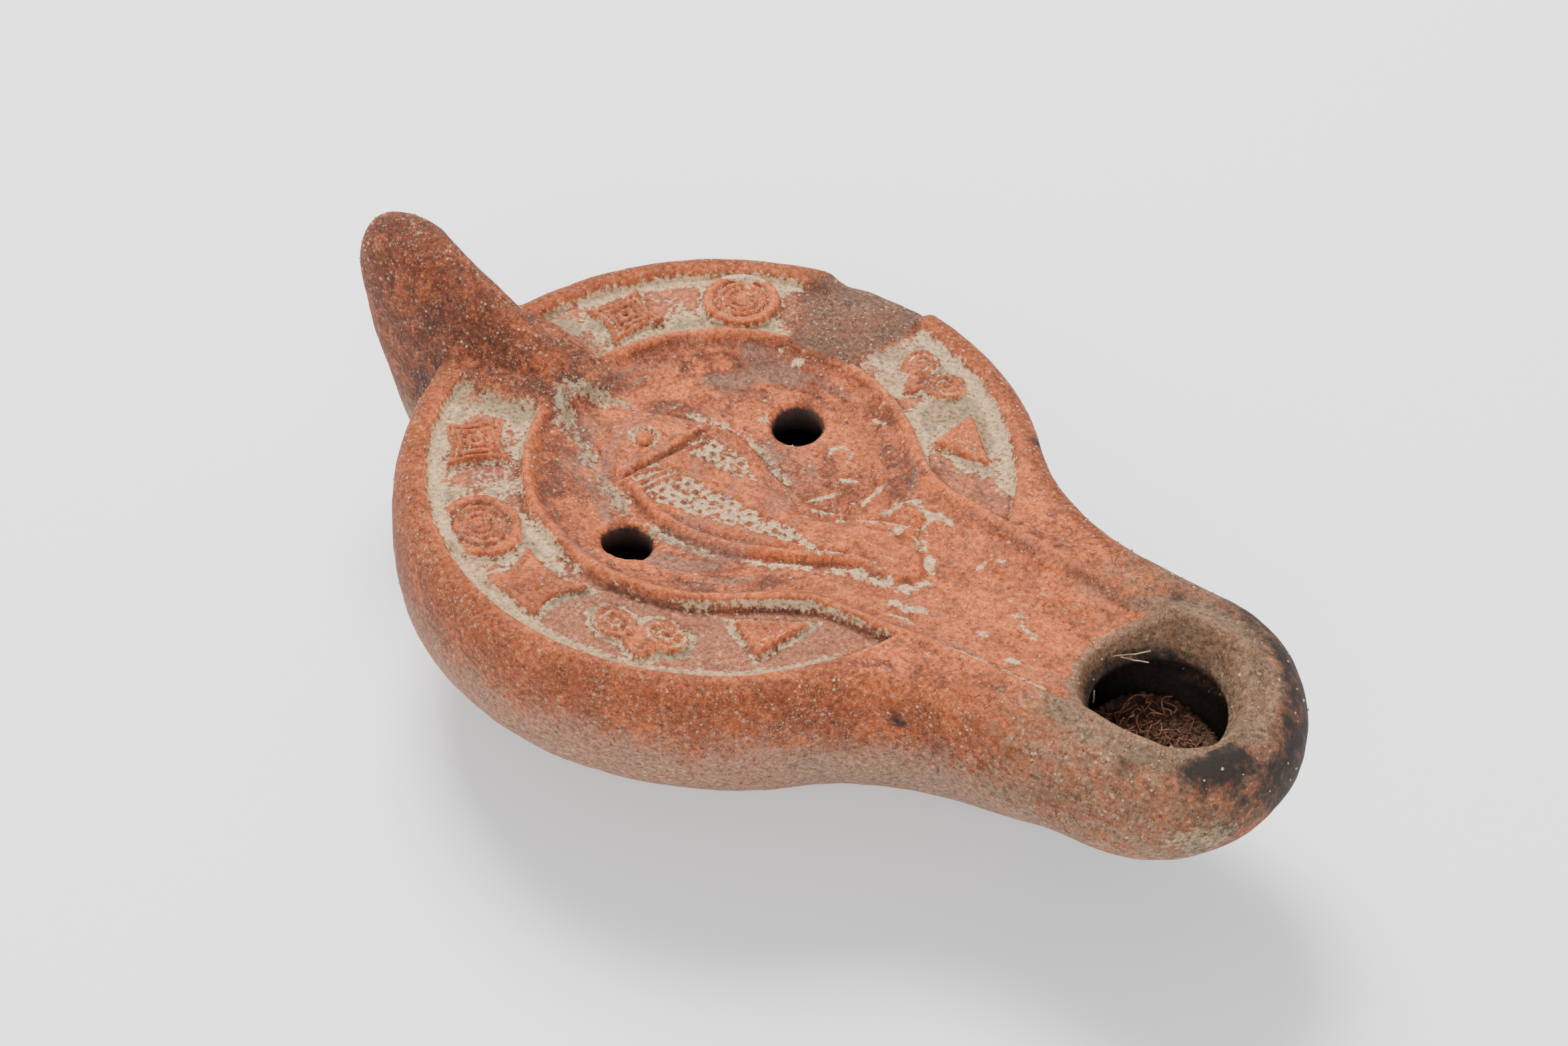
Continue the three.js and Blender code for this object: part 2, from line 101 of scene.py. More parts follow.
def lattice_noise(points: Array, cell: float, seed: int) -> Array:
    """Smooth value noise.

    Args:
        points: places in millimetres, one row each, with two or three columns.
        cell: size of a cell of the noise in millimetres.
        seed: any whole number.

    Returns:
        One value from -1 to 1 for each place.
    """
    if points.shape[1] == 2:
        points = np.column_stack([points, np.zeros(len(points))])
    scaled = points / cell + 100.37 + seed * 7.13
    base = np.floor(scaled).astype(np.int64)
    part = scaled - base
    part = part * part * (3.0 - 2.0 * part)
    total = np.zeros(len(points))
    for corner in range(8):
        step = np.array([corner & 1, (corner >> 1) & 1, (corner >> 2) & 1])
        spot = base + step
        key = np.bitwise_xor.reduce(spot * HASH_PRIMES, axis=1) ^ (seed * HASH_SEED)
        key = ((key ^ (key >> 13)) * HASH_MIX) & 0xFFFFFFFF
        key = (key ^ (key >> 15)) & 0xFFFF
        weight = np.prod(np.where(step == 1, part, 1.0 - part), axis=1)
        total += weight * (key / 32767.5 - 1.0)
    return total


def layered_noise(points: Array, cell: float, seed: int, layers: int = 3) -> Array:
    """Returns value noise summed over layers, each half the size and half the strength of the last."""
    total = np.zeros(len(points))
    for layer in range(layers):
        total += lattice_noise(points, cell / 2 ** layer, seed + layer * 11) * 0.5 ** layer
    return total / (2.0 - 0.5 ** (layers - 1))


def polygon_depth(x: Array, y: Array, outline: Array) -> Array:
    """Signed distance to a closed outline, positive inside.

    Args:
        x: first coordinates of the places.
        y: second coordinates of the places.
        outline: corners of the outline, one row each.

    Returns:
        One distance for each place.
    """
    nearest = np.full(len(x), 1e9)
    inside = np.zeros(len(x), bool)
    for a, b in zip(outline, np.roll(outline, -1, axis=0)):
        edge = b - a
        along = np.clip(((x - a[0]) * edge[0] + (y - a[1]) * edge[1]) / max(edge @ edge, 1e-9), 0.0, 1.0)
        nearest = np.minimum(nearest, np.hypot(x - a[0] - along * edge[0], y - a[1] - along * edge[1]))
        crosses = (a[1] > y) != (b[1] > y)
        slope = edge[0] / edge[1] if abs(edge[1]) > 1e-12 else 0.0
        inside ^= crosses & (x < a[0] + (y - a[1]) * slope)
    return np.where(inside, nearest, -nearest)


def curve_through(points: Sequence[tuple[float, float]], steps: int) -> Array:
    """Returns a smooth open curve through the points, with steps places between each two."""
    knots = np.array(points, float)
    padded = np.vstack([2 * knots[0] - knots[1], knots, 2 * knots[-1] - knots[-2]])
    out = []
    for i in range(1, len(padded) - 2):
        p0, p1, p2, p3 = padded[i - 1:i + 3]
        t = np.linspace(0.0, 1.0, steps, endpoint=False)[:, None]
        out.append(0.5 * (2 * p1 + (p2 - p0) * t + (2 * p0 - 5 * p1 + 4 * p2 - p3) * t ** 2
                          + (3 * p1 - p0 - 3 * p2 + p3) * t ** 3))
    out.append(knots[-1:])
    return np.vstack(out)


@dataclass(frozen=True)
class LampForm:
    """Sizes of the lamp's outside and hollow in millimetres, the same as those of the solid it dresses."""

    crest_z: float = 33.5
    body_r: float = 43.2
    equator_depth: float = 9.0
    nozzle_half_width: float = 19.75
    nozzle_tip_x: float = 85.8
    nozzle_rise: float = 1.5
    nozzle_belly_depth: float = 10.8
    flank_r: float = 30.0
    shoulder_inset: float = 4.3
    nozzle_inset: float = 6.0
    lower_r: float = 17.0
    foot_r: float = 20.0
    foot_step: float = 0.8
    wall: float = 4.0
    wick_x: float = 67.3
    wick_r: float = 8.6
    rise_x: float = 24.0
    axis_x: float = 12.0
    filling_holes: tuple[tuple[float, float, float], ...] = ((1.9, 14.4, 3.4), (-2.1, -17.4, 3.3))

    @property
    def tip_centre_x(self) -> float:
        """Centre of the round end of the nozzle."""
        return self.nozzle_tip_x - self.nozzle_half_width

    def crest(self, x: Array) -> Array:
        """Returns the height of the shoulder's crest at x, which rises from rise_x to the wick hole."""
        share = np.clip((x - self.rise_x) / (self.wick_x - self.rise_x), 0.0, 1.0)
        return self.crest_z + self.nozzle_rise * share

    def half_outline(self, spacing: float) -> Array:
        """Widest outline in plan, from the back of the reservoir round one side to the tip of the nozzle.

        Args:
            spacing: distance between places along the outline.

        Returns:
            One row for each place.
        """
        flank_y = self.nozzle_half_width + self.flank_r
        flank_x = math.sqrt((self.body_r + self.flank_r) ** 2 - flank_y ** 2)
        meet = math.atan2(flank_y, flank_x)

        def arc(cx: float, cy: float, r: float, start: float, end: float) -> Array:
            """Returns places along an arc."""
            count = max(2, round(abs(end - start) * r / spacing))
            angle = np.linspace(start, end, count, endpoint=False)
            return np.column_stack([cx + r * np.cos(angle), cy + r * np.sin(angle)])

        side_count = max(2, round((self.tip_centre_x - flank_x) / spacing))
        half = self.nozzle_half_width
        side = np.linspace((flank_x, half), (self.tip_centre_x, half), side_count, endpoint=False)
        return np.vstack([
            arc(0, 0, self.body_r, math.pi, meet),
            arc(flank_x, flank_y, self.flank_r, meet + math.pi, 1.5 * math.pi),
            side,
            arc(self.tip_centre_x, 0, self.nozzle_half_width, math.pi / 2, 0.0),
            [(self.nozzle_tip_x, 0.0)],
        ])

    def stations(self, spacing: float) -> dict[str, Array]:
        """Returns the whole outline, the axis point each place closes towards, and its share of nozzle."""
        half = self.half_outline(spacing)
        ring = np.vstack([half, half[-2:0:-1] * [1, -1]])
        x, y = ring.T
        t = np.clip((x - self.axis_x) / (self.tip_centre_x - self.axis_x), 0.0, 1.0)
        axis_x = self.tip_centre_x * t ** 1.15
        reach = np.hypot(x - axis_x, y)
        return {"x": x, "y": y, "axis_x": axis_x, "reach": reach, "nozzle": smooth(t ** 2.8)}

    def ring(self, at: dict[str, Array], inset: Array, z: Array) -> Array:
        """Returns the outline moved in by inset towards the axis, at height z."""
        k = 1.0 - inset / at["reach"]
        return np.column_stack([at["axis_x"] + (at["x"] - at["axis_x"]) * k, at["y"] * k, z + 0 * k])

    def rings(self, spacing: float, skin: float, floor_z: float, rows: tuple[int, int],
              roof: Callable[[dict[str, Array]], Array] | None = None) -> list[Array]:
        """Rings of the wall from the underside to the top.

        Args:
            spacing: distance between places along the outline.
            skin: how far the whole form is moved in.
            floor_z: height of the underside.
            rows: how many rings the lower wall and the shoulder take.
            roof: gives the height of the top, or None for the crest of the shoulder.

        Returns:
            The rings, lowest first.
        """
        at = self.stations(spacing)
        crest = self.crest(at["x"])
        equator = crest - mix(self.equator_depth, self.equator_depth - 0.8, at["nozzle"])
        bottom_inset = mix(self.body_r - self.lower_r, at["reach"] * 0.57, at["nozzle"])
        bottom_z = mix(floor_z, equator - self.nozzle_belly_depth + skin, at["nozzle"])
        top = crest if roof is None else roof(at)
        made = []
        for a in np.linspace(math.pi / 2, 0.0, rows[0]):
            inset = skin + (bottom_inset - skin * 0.5) * (1.0 - math.cos(a) ** 1.2)
            inset = np.minimum(inset, at["reach"] * 0.9)
            made.append(self.ring(at, inset, mix(equator, bottom_z, math.sin(a))))
        power = mix(0.67, 0.85, at["nozzle"])
        full = mix(self.shoulder_inset, self.nozzle_inset, at["nozzle"])
        for a in np.linspace(0.0, math.pi / 2, rows[1])[1:]:
            inset = skin + full * (1.0 - max(math.cos(a), 0.0) ** power)
            made.append(self.ring(at, inset, mix(equator, top, math.sin(a) ** power)))
        return made


class Motif(Enum):
    """Stamps on the band."""

    SQUARE = "hollow-sided square"
    DISC = "ringed disc"
    HEART = "heart with two volutes"
    LEAF = "leaf with ribs"


FLAT_WEAR = 0.9


@dataclass(frozen=True)
class Stamp:
    """One stamp: its motif, its place on the band, its half width and half height, and how worn it is.

    Angles are in degrees from the nozzle, and the half sizes are vectors along and across the band.
    """

    motif: Motif
    angle: float
    radius: float
    across: tuple[float, float] = (4.5, 0.0)
    upward: tuple[float, float] = (0.0, 4.5)
    wear: float = 0.0
    pale_ridges: bool = False

    def local(self, x: Array, y: Array) -> tuple[Array, Array]:
        """Returns the places in the stamp's own square, which is 9 mm wide."""
        a = math.radians(self.angle)
        dx, dy = x - self.radius * math.cos(a), y - self.radius * math.sin(a)
        along, outward = dx * math.sin(a) - dy * math.cos(a), dx * math.cos(a) + dy * math.sin(a)
        frame = np.linalg.inv(np.array([self.across, self.upward]).T / 4.5)
        return frame[0, 0] * along + frame[0, 1] * outward, frame[1, 0] * along + frame[1, 1] * outward

    def shape(self, x: Array, y: Array) -> tuple[Array, Array, Array]:
        """The stamp in relief.

        Args:
            x: places along the lamp.
            y: places across it.

        Returns:
            Depth inside its outline, height over the floor of the band, and where its grooves lie.
        """
        u, v = self.local(x, y)
        ragged = self.wear * 0.7 * layered_noise(np.column_stack([x, y]), 2.2, 91, 2)
        depth, height, groove = getattr(self, self.motif.name.lower())(u, v)
        depth = depth + ragged
        inside = smooth((depth + 0.15) / 0.5)
        height = height * (1.0 - 0.45 * self.wear)
        if self.wear > FLAT_WEAR:
            height = mix(height, 1.02, 0.8)
        return depth, height * inside, groove * (depth > 0.2) * (1.0 - 0.8 * self.wear)

    @staticmethod
    def rings(depth: Array, spacing: tuple[float, ...], width: float = 0.36) -> tuple[Array, Array]:
        """Returns the height of a plate with grooves at given depths, and the grooves themselves."""
        groove = np.zeros_like(depth)
        for at in spacing:
            groove = np.maximum(groove, bump_line(depth - at, width))
        return 1.25 - 0.85 * groove, groove

    def square(self, u: Array, v: Array) -> tuple[Array, Array, Array]:
        """Returns nested squares whose sides curve in."""
        half, dip = 4.5, 1.15
        au, av = np.abs(u), np.abs(v)
        depth = np.minimum(half - dip * (1 - (v / half) ** 2) - au,
                           half - dip * (1 - (u / half) ** 2) - av)
        height, groove = self.rings(depth, (0.85, 1.9), 0.42)
        pit = smooth((0.75 - np.hypot(u, v)) / 0.4)
        return depth, height - 0.7 * pit, np.maximum(groove, 0.7 * pit)

    def disc(self, u: Array, v: Array) -> tuple[Array, Array, Array]:
        """Returns a round plate with a plain border, rings and a knob."""
        r = np.hypot(u, v)
        height, groove = self.rings(5.4 - r, (1.75, 2.85, 3.85), 0.4)
        knob = smooth((0.5 - r) / 0.3)
        return 5.4 - r, height - 0.25 * smooth((1.1 - r) / 0.3) + 0.35 * knob, groove

    def heart(self, u: Array, v: Array) -> tuple[Array, Array, Array]:
        """Returns a heart with a volute wound in each lobe."""
        au = np.abs(u)
        lobe_x, lobe_y, lobe_r, pitch = 3.05, 1.1, 3.0, 1.3
        du, dv = au - lobe_x, v - lobe_y
        r = np.hypot(du, dv)
        wedge = np.minimum((v + 4.9) * 0.62 - au * 0.78, 2.0 - v)
        depth = np.maximum(lobe_r - r, wedge)
        turn = (r - np.arctan2(dv, du) * pitch / (2 * math.pi)) / pitch
        line = np.abs(turn - np.round(turn)) * pitch
        curl = smooth((lobe_r - r) / 0.3) * smooth((v + 1.6) / 1.0)
        ridge = smooth(1.0 - line / 0.5) * curl
        height = 0.85 + 0.65 * ridge - 0.25 * curl
        groove = ridge if self.pale_ridges else smooth((line - 0.24) / 0.2) * curl
        stem = bump_line(au - 0.25 * (v + 4.0) - 0.4, 0.45) * smooth((-0.8 - v) / 0.6)
        return depth, height + 0.3 * stem, groove

    def leaf(self, u: Array, v: Array) -> tuple[Array, Array, Array]:
        """Returns a three-cornered leaf with ribs in a V."""
        sides = ((v + 4.6) * 5.4 - np.abs(u) * 7.1) / math.hypot(5.4, 7.1)
        depth = round_min(sides, 2.5 - v, 0.9)
        spread = v - np.abs(u) * 1.15
        height = np.full_like(u, 1.0)
        groove = np.zeros_like(u)
        for at, reach in ((-3.0, 3.1), (-1.9, 2.5), (-0.7, 1.7)):
            rib = bump_line(spread - at, 0.5) * smooth((reach - np.abs(u)) / 0.5)
            height += 0.42 * rib
            cut = spread - at - (0.0 if self.pale_ridges else 0.55)
            groove = np.maximum(groove, 0.85 * bump_line(cut, 0.42) * smooth((reach - np.abs(u)) / 0.5))
        return depth, height, groove


def band_stamps() -> list[Stamp]:
    """Returns the stamps of both halves of the band, from the handle to the nozzle."""
    return [
        Stamp(Motif.SQUARE, 151.0, 32.1, (4.3, 0.95), (-0.45, 4.1)),
        Stamp(Motif.DISC, 122.3, 32.9),
        Stamp(Motif.HEART, 68.6, 32.6, (4.0, 0.3), (-0.3, 4.2), wear=0.4),
        Stamp(Motif.LEAF, 45.0, 32.3, (4.6, 0.2), (0.3, 4.3)),
        Stamp(Motif.SQUARE, -149.8, 32.5, (4.3, 1.15), (-1.2, 4.3)),
        Stamp(Motif.DISC, -121.9, 33.0, (5.1, 0.3), (0.0, 4.3), wear=0.55),
        Stamp(Motif.SQUARE, -100.1, 32.6, (5.4, 0.6), (0.25, 4.4), wear=0.95),
        Stamp(Motif.HEART, -71.0, 32.6, (4.8, -0.1), (1.3, -4.0), 0.2, True),
        Stamp(Motif.LEAF, -42.7, 31.4, (4.2, -1.0), (-1.8, -3.7), pale_ridges=True),
    ]


@dataclass(frozen=True)
class LimeStroke:
    """A smear of lime on the discus or channel: a line in plan and its half width, in millimetres."""

    points: tuple[tuple[float, float], ...]
    half_width: float

    def cover(self, x: Array, y: Array, ragged: Array) -> Array:
        """Returns how fully the smear covers each place."""
        nearest = np.full(len(x), 1e9)
        dots = self.points if len(self.points) > 1 else self.points * 2
        for (ax, ay), (bx, by) in zip(dots, dots[1:]):
            ex, ey = bx - ax, by - ay
            along = np.clip(((x - ax) * ex + (y - ay) * ey) / max(ex * ex + ey * ey, 1e-6), 0.0, 1.0)
            nearest = np.minimum(nearest, np.hypot(x - ax - along * ex, y - ay - along * ey))
        return smooth((self.half_width * (1.0 + 0.9 * ragged) - nearest) / 0.9 + 0.5)


LIME_STROKES = [LimeStroke(points, half_width) for half_width, points in (
    (0.7, ((22.3, 5.4), (22.6, 8.3), (24.1, 9.6))),
    (0.85, ((25.4, 9.1), (27.5, 8.5), (28.3, 4.9), (30.8, 2.6), (32.5, 1.1))),
    (0.7, ((27.2, 8.9), (29.9, 9.4))),
    (0.6, ((24.7, 2.4), (26.1, 5.1))),
    (0.8, ((30.9, -4.1), (32.6, -3.2), (33.3, -1.3))),
    (0.8, ((22.3, -6.6), (25.5, -4.8), (28.9, -4.5), (29.6, -4.0))),
    (0.8, ((32.5, -6.8), (34.2, -6.9), (35.7, -5.9))),
    (0.35, ((37.1, 4.7), (37.7, 6.9), (39.4, 7.4))),
    (0.4, ((46.9, -0.4), (48.6, -0.8), (50.3, -1.6))),
    (0.6, ((11.8, -11.3), (15.1, -9.8), (19.6, -7.6))),
    (0.45, ((14.3, 1.0), (18.0, 2.0))),
    (0.4, ((12.3, 3.8), (13.9, 5.9))),
    (0.4, ((16.7, 5.6), (18.1, 6.7), (18.6, 9.8))),
    (0.55, ((-9.3, 7.0), (-7.0, 8.2), (-5.2, 8.3))),
    (1.0, ((-2.7, 12.4),)),
    (0.6, ((-7.3, 23.0),)),
    (0.8, ((-3.8, 22.5),)),
    (0.7, ((44.4, -4.5),)),
    (0.3, ((17.6, 1.2), (21.2, 3.0), (24.5, 4.1))),
    (0.25, ((19.5, -5.5), (23.4, -3.2))),
    (0.35, ((13.0, 8.6), (14.8, 9.4))),
    (0.3, ((-16.5, -9.0), (-15.2, -7.6))),
    (0.25, ((-19.8, -9.6), (-18.4, -8.2))),
    (0.3, ((33.4, -9.0), (36.8, -8.6))),
    (0.55, ((45.4, 0.4), (46.4, 0.9))),
    (0.9, ((49.9, -6.9),)),
    (0.28, ((8.6, 12.8), (9.8, 14.0), (11.6, 13.4), (12.0, 11.6), (10.6, 10.8), (9.0, 11.6), (8.6, 12.8))),
)]


# Each stain: its place, its size, and how far it greys the clay, or brightens it below zero.
STAINS = (
    (-8.6, 18.0, 6.0, 0.9), (6.5, 7.5, 4.5, 1.0), (4.0, -14.0, 5.5, 1.0), (12.5, 0.5, 3.0, 0.6),
    (-19.5, -4.5, 3.5, 0.8), (-13.5, 18.5, 3.0, -1.2), (-4.7, 12.6, 3.0, -0.9), (11.0, 17.0, 6.0, -1.0),
    (-15.0, -13.0, 4.5, 0.3), (27.0, 3.0, 5.0, -0.8), (45.0, 3.0, 8.0, -0.9), (20.0, -13.0, 5.0, -0.6),
    (-16.0, 10.0, 5.0, -0.5),
)


# The back, the tail and the belly of the fish, each with how many places it takes between its points.
FISH_OUTLINE = (
    ([(-22.6, -2.4), (-19.5, 0.2), (-16.5, 2.4), (-13.3, 4.6), (-9.2, 6.4), (-5.2, 7.6), (-0.2, 6.9),
      (4.9, 4.6), (9.0, 3.3), (13.4, 2.2), (18.0, 3.3), (21.6, 6.2), (23.8, 9.1)], 5),
    ([(26.2, 8.6), (27.4, 6.4), (27.9, 4.4), (29.8, 2.4), (31.6, 0.7), (32.3, -1.6)], 3),
    ([(29.8, -3.4), (25.6, -4.2), (22.0, -5.4), (19.0, -7.0), (14.5, -9.0), (10.0, -11.0), (4.0, -12.4),
      (-2.0, -12.0), (-8.6, -9.5), (-15.6, -6.2), (-20.0, -4.4)], 5),
)
UPPER_SCALES = ((-8.0, 0.5), (-7.5, 4.9), (-4.0, 5.2), (1.0, 4.4), (4.8, 1.8), (1.0, 0.4), (-3.0, 0.5))
LOWER_SCALES = ((-9.0, -2.6), (-2.0, -2.9), (6.0, -2.8), (14.0, -2.9), (20.4, -4.7), (12.0, -6.3),
                (3.0, -8.5), (-4.0, -9.7), (-8.9, -8.0))


@dataclass
class Fish:
    """The fish on the discus, its head towards the handle."""

    eye: tuple[float, float] = (-11.9, -1.2)
    pitch: tuple[float, float] = (1.55, 1.35)

    def outline(self) -> Array:
        """Returns the outline, snout first, along the back, round the tail and back along the belly."""
        return np.vstack([curve_through(points, steps) for points, steps in FISH_OUTLINE])

    def net(self, x: Array, y: Array) -> tuple[Array, Array]:
        """Returns the zones of scales, and the scales in them."""
        zone = np.maximum.reduce([smooth(polygon_depth(x, y, np.array(outline)) / 0.7 + 0.3)
                                  for outline in (UPPER_SCALES, LOWER_SCALES)])
        plan = np.column_stack([x, y])
        x = x + 0.3 * lattice_noise(plan, 2.3, 51)
        y = y + 0.3 * lattice_noise(plan, 2.3, 52) + 0.10 * x
        row = y / self.pitch[1]
        column = x / self.pitch[0] + np.where(np.floor(row).astype(int) % 2 == 0, 0.0, 0.5)
        across = (row - np.floor(row) - 0.5) * self.pitch[1]
        along = (column - np.floor(column) - 0.5) * self.pitch[0]
        size = 0.30 + 0.12 * lattice_noise(plan, 1.6, 53)
        scale = smooth((size + 0.08 - np.maximum(np.abs(across), np.abs(along) * 0.9)) / 0.22)
        comb = smooth((-4.4 - x) / 1.2)
        stroke = smooth((np.abs(np.sin((x * 0.93 - 0.42 * y) * 2.35)) - 0.42) / 0.3)
        return zone, mix(scale, stroke, comb)

    def relief(self, x: Array, y: Array) -> dict[str, Array]:
        """The fish in relief.

        Args:
            x: places along the lamp.
            y: places across it.

        Returns:
            Height over the discus, depth inside the outline, and how much lime and grime lie on it.
        """
        depth = polygon_depth(x, y, self.outline())
        inside = smooth((depth + 0.2) / 0.8)
        body = inside * (0.75 + 0.55 * smooth(depth / 4.5))
        gill_x = np.interp(y, [-9.5, -7.7, 0.1, 6.5], [-11.2, -10.3, -8.0, -7.5])
        behind = x - gill_x
        on_cheek = smooth(depth / 0.5)
        body += (0.28 * bump_line(behind + 0.15, 0.7) - 0.6 * bump_line(behind - 0.75, 0.5)) * on_cheek
        eye = np.hypot(x - self.eye[0], y - self.eye[1])
        for rise, at in ((0.55, 0.75), (-0.5, 1.45), (0.25, 2.1)):
            body += rise * bump_line(eye - at, 0.5)
        zone, scale = self.net(x, y)
        zone = zone * inside * smooth(behind - 0.2)
        body += zone * (0.40 * scale - 0.32)
        above = smooth((y + 1.5) / 2.0) * smooth((x + 7.5) / 1.0)
        below = smooth((-2.0 - y) / 2.0) * smooth((x + 9.0) / 3.0)
        back = bump_line(depth - 1.15, 0.42) * above + 0.7 * bump_line(depth - 0.35, 0.3) * above
        belly = bump_line(depth - 1.1, 0.75) + 0.8 * bump_line(depth - 2.7, 0.7)
        body += (0.6 * back + 0.5 * belly * below) * (1.0 - zone)
        tail = smooth((x - 20.5) / 2.5) * inside
        rays = np.sin(np.arctan2(y - 1.0, x - 12.0) * 34.0)
        body += 0.2 * rays * tail
        around_eye = smooth((2.7 - eye) / 0.9) * smooth((eye - 1.0) / 0.4)
        mouth = bump_line(y + 2.6 + 0.25 * (x + 19.0), 0.4) * smooth((-15.5 - x) / 1.0) * inside
        return {
            "height": body - 0.35 * mouth,
            "depth": depth,
            "lime": np.maximum.reduce([zone * (1.0 - 0.85 * scale), 0.75 * around_eye * on_cheek,
                                       0.6 * bump_line(depth - 1.9, 0.5) * below * smooth(x / 3.0),
                                       0.5 * bump_line(depth - 0.7, 0.4) * above]),
            "grime": zone * scale,
        }


@dataclass
class TopRelief:
    """All that is moulded into the top: ridges, discus, band, stamps, channel, fish and wick hole."""

    form: LampForm
    discus_depth: float = 3.8
    discus_edge_depth: float = 2.5
    ridge_r: float = 25.2
    band_depth: float = 1.6
    band_outer_r: float = 38.4
    channel_half_width: tuple[float, float] = (12.6, 10.7)
    channel_depth: float = 1.9
    corner_round: float = 6.0
    stamps: list[Stamp] = field(default_factory=band_stamps)
    fish: Fish = field(default_factory=Fish)

    def hollow_side(self, x: Array, y: Array) -> Array:
        """Returns the distance outside the ridge round the discus and the channel, negative within."""
        half = mix(*self.channel_half_width, smooth((x - 26.0) / 24.0))
        channel = np.maximum(np.abs(y) - half, 8.0 - x)
        return round_min(np.hypot(x, y) - self.ridge_r, channel, self.corner_round)

    def floor_depth(self, x: Array, y: Array) -> Array:
        """Returns how deep the discus and the channel lie below the crest."""
        r = np.hypot(x, y)
        bowl = mix(self.discus_depth, self.discus_edge_depth, np.clip(r / 23.0, 0, 1.1) ** 2.2)
        trough = self.channel_depth + 0.5 * (1.0 - np.clip(np.abs(y) / 11.0, 0, 1) ** 2)
        return mix(bowl, trough, smooth((x - 15.0) / 16.0))

    def band_relief(self, x: Array, y: Array) -> tuple[Array, Array, Array]:
        """Returns the height of the stamps, how near their outlines are, and their grooves."""
        height, halo, groove = np.zeros_like(x), np.zeros_like(x), np.zeros_like(x)
        for stamp in self.stamps:
            a = math.radians(stamp.angle)
            near = np.hypot(x - stamp.radius * math.cos(a), y - stamp.radius * math.sin(a)) < 9.5
            depth, rise, cut = stamp.shape(x[near], y[near])
            height[near] = np.maximum(height[near], rise)
            halo[near] = np.maximum(halo[near], smooth((1.25 + depth) / 0.7))
            groove[near] = np.maximum(groove[near], cut)
        return height, halo, groove

    def sample(self, x: Array, y: Array) -> dict[str, Array]:
        """The finished top at each place.

        Args:
            x: places along the lamp.
            y: places across it.

        Returns:
            Heights above the base, masks for what lies on the clay and how it is worn, and painted shade in
            the trough.
        """
        form = self.form
        plan = np.column_stack([x, y])
        wobble = layered_noise(plan, 9.0, 3, 2)
        ragged = layered_noise(plan, 1.2, 33)
        cloud = layered_noise(plan, 4.2, 21)
        r = np.hypot(x, y)
        angle = np.arctan2(y, x)
        side = self.hollow_side(x, y) + 0.3 * wobble
        handle_root = smooth((7.6 + 0.12 * (-x - 24.0) + wobble - np.abs(y)) / 2.6)
        handle_root *= smooth((-x - 20.0) / 4.0)
        within = 0.5 * smooth((0.2 - side) / 2.2) + 0.5 * smooth((-side - 0.2) / 6.5)
        within *= 1.0 - handle_root * smooth((r - 19.0) / 4.0)
        outer = self.band_outer_r + 0.25 * wobble - r
        beyond = smooth((side - 0.5) / 1.0) * smooth((outer + 0.5) / 0.9) * (1.0 - handle_root)
        rounds = smooth((10.0 - x) / 14.0)
        folds = 0.3 * bump_line(side + 5.0, 1.5) * smooth((2.0 - y) / 14.0)
        folds += 0.2 * bump_line(side + 2.2, 1.0) * rounds
        near_tail = smooth((x - 8.0) / 8.0) * smooth((34.0 - x) / 8.0)
        folds += 0.25 * bump_line(side + 3.6 + 0.06 * (y + 10.0), 1.3) * near_tail
        lift = bump_line(side - 0.1, 1.2) * (1.0 - handle_root)
        height = -self.floor_depth(x, y) * within - self.band_depth * beyond + 0.3 * lift + folds
        degrees = np.degrees(angle)
        height += 0.25 * beyond * smooth((degrees + 128.0) / 8.0) * smooth((-85.0 - degrees) / 8.0)
        stamped, halo, groove = self.band_relief(x, y)
        stamped = stamped * beyond
        height += stamped

        fish = self.fish.relief(x, y)
        height += fish["height"] * smooth((within - 0.25) / 0.4)

        rim = np.hypot(x - form.wick_x, y)
        height += self.nozzle_rim(x, rim, wobble)
        for hx, hy, hr in form.filling_holes:
            gap = np.hypot(x - hx, y - hy)
            height -= 0.8 * smooth((hr + 0.9 + 0.4 * ragged - gap) / 1.0)

        smears = np.zeros_like(x)
        for stroke in LIME_STROKES:
            smears = np.maximum(smears, stroke.cover(x, y, ragged))
        height += 0.22 * smears * within
        lime, grime, bare_floor = self.deposits(
            x, y, degrees, side, outer, beyond, stamped, halo, groove, fish, cloud, ragged)
        lime = 0.86 * np.maximum(lime, 0.95 * smears * smooth(0.9 + 0.9 * ragged))
        rubbed = smooth((stamped - 0.75) / 0.4) + smooth(fish["height"] / 0.9) * 0.5 + lift * 0.7
        stained = np.zeros_like(x)
        for px, py, size, amount in STAINS:
            gap = np.hypot(x - px, (y - py) * 1.3) + 1.6 * cloud
            stained += amount * smooth(1.4 - gap / size)
        streaks = layered_noise(np.column_stack([r * 1.3, angle * 5.0]), 2.2, 81) * smooth((31.0 - x) / 8.0)
        along = layered_noise(np.column_stack([x * 0.3, y * 1.5]), 2.6, 82) * smooth((x - 24.0) / 8.0)
        # Painted shade in the trough just inside the inner ridge, patchy and fading towards the nozzle.
        trough = 0.6 * bump_line(side + 3.4, 3.6) * smooth(0.55 + 1.1 * cloud) * smooth((30.0 - x) / 10.0)
        return {
            "z": height + form.crest(x), "lime": lime, "grime": grime, "rubbed": np.clip(rubbed, 0, 1),
            "handle": handle_root, "salmon": bare_floor, "dots": fish["grime"], "trough": trough,
            "streak": 0.5 + (0.55 * (streaks + along) + 0.28 * stained) * smooth((1.0 - side) / 2.0),
        }

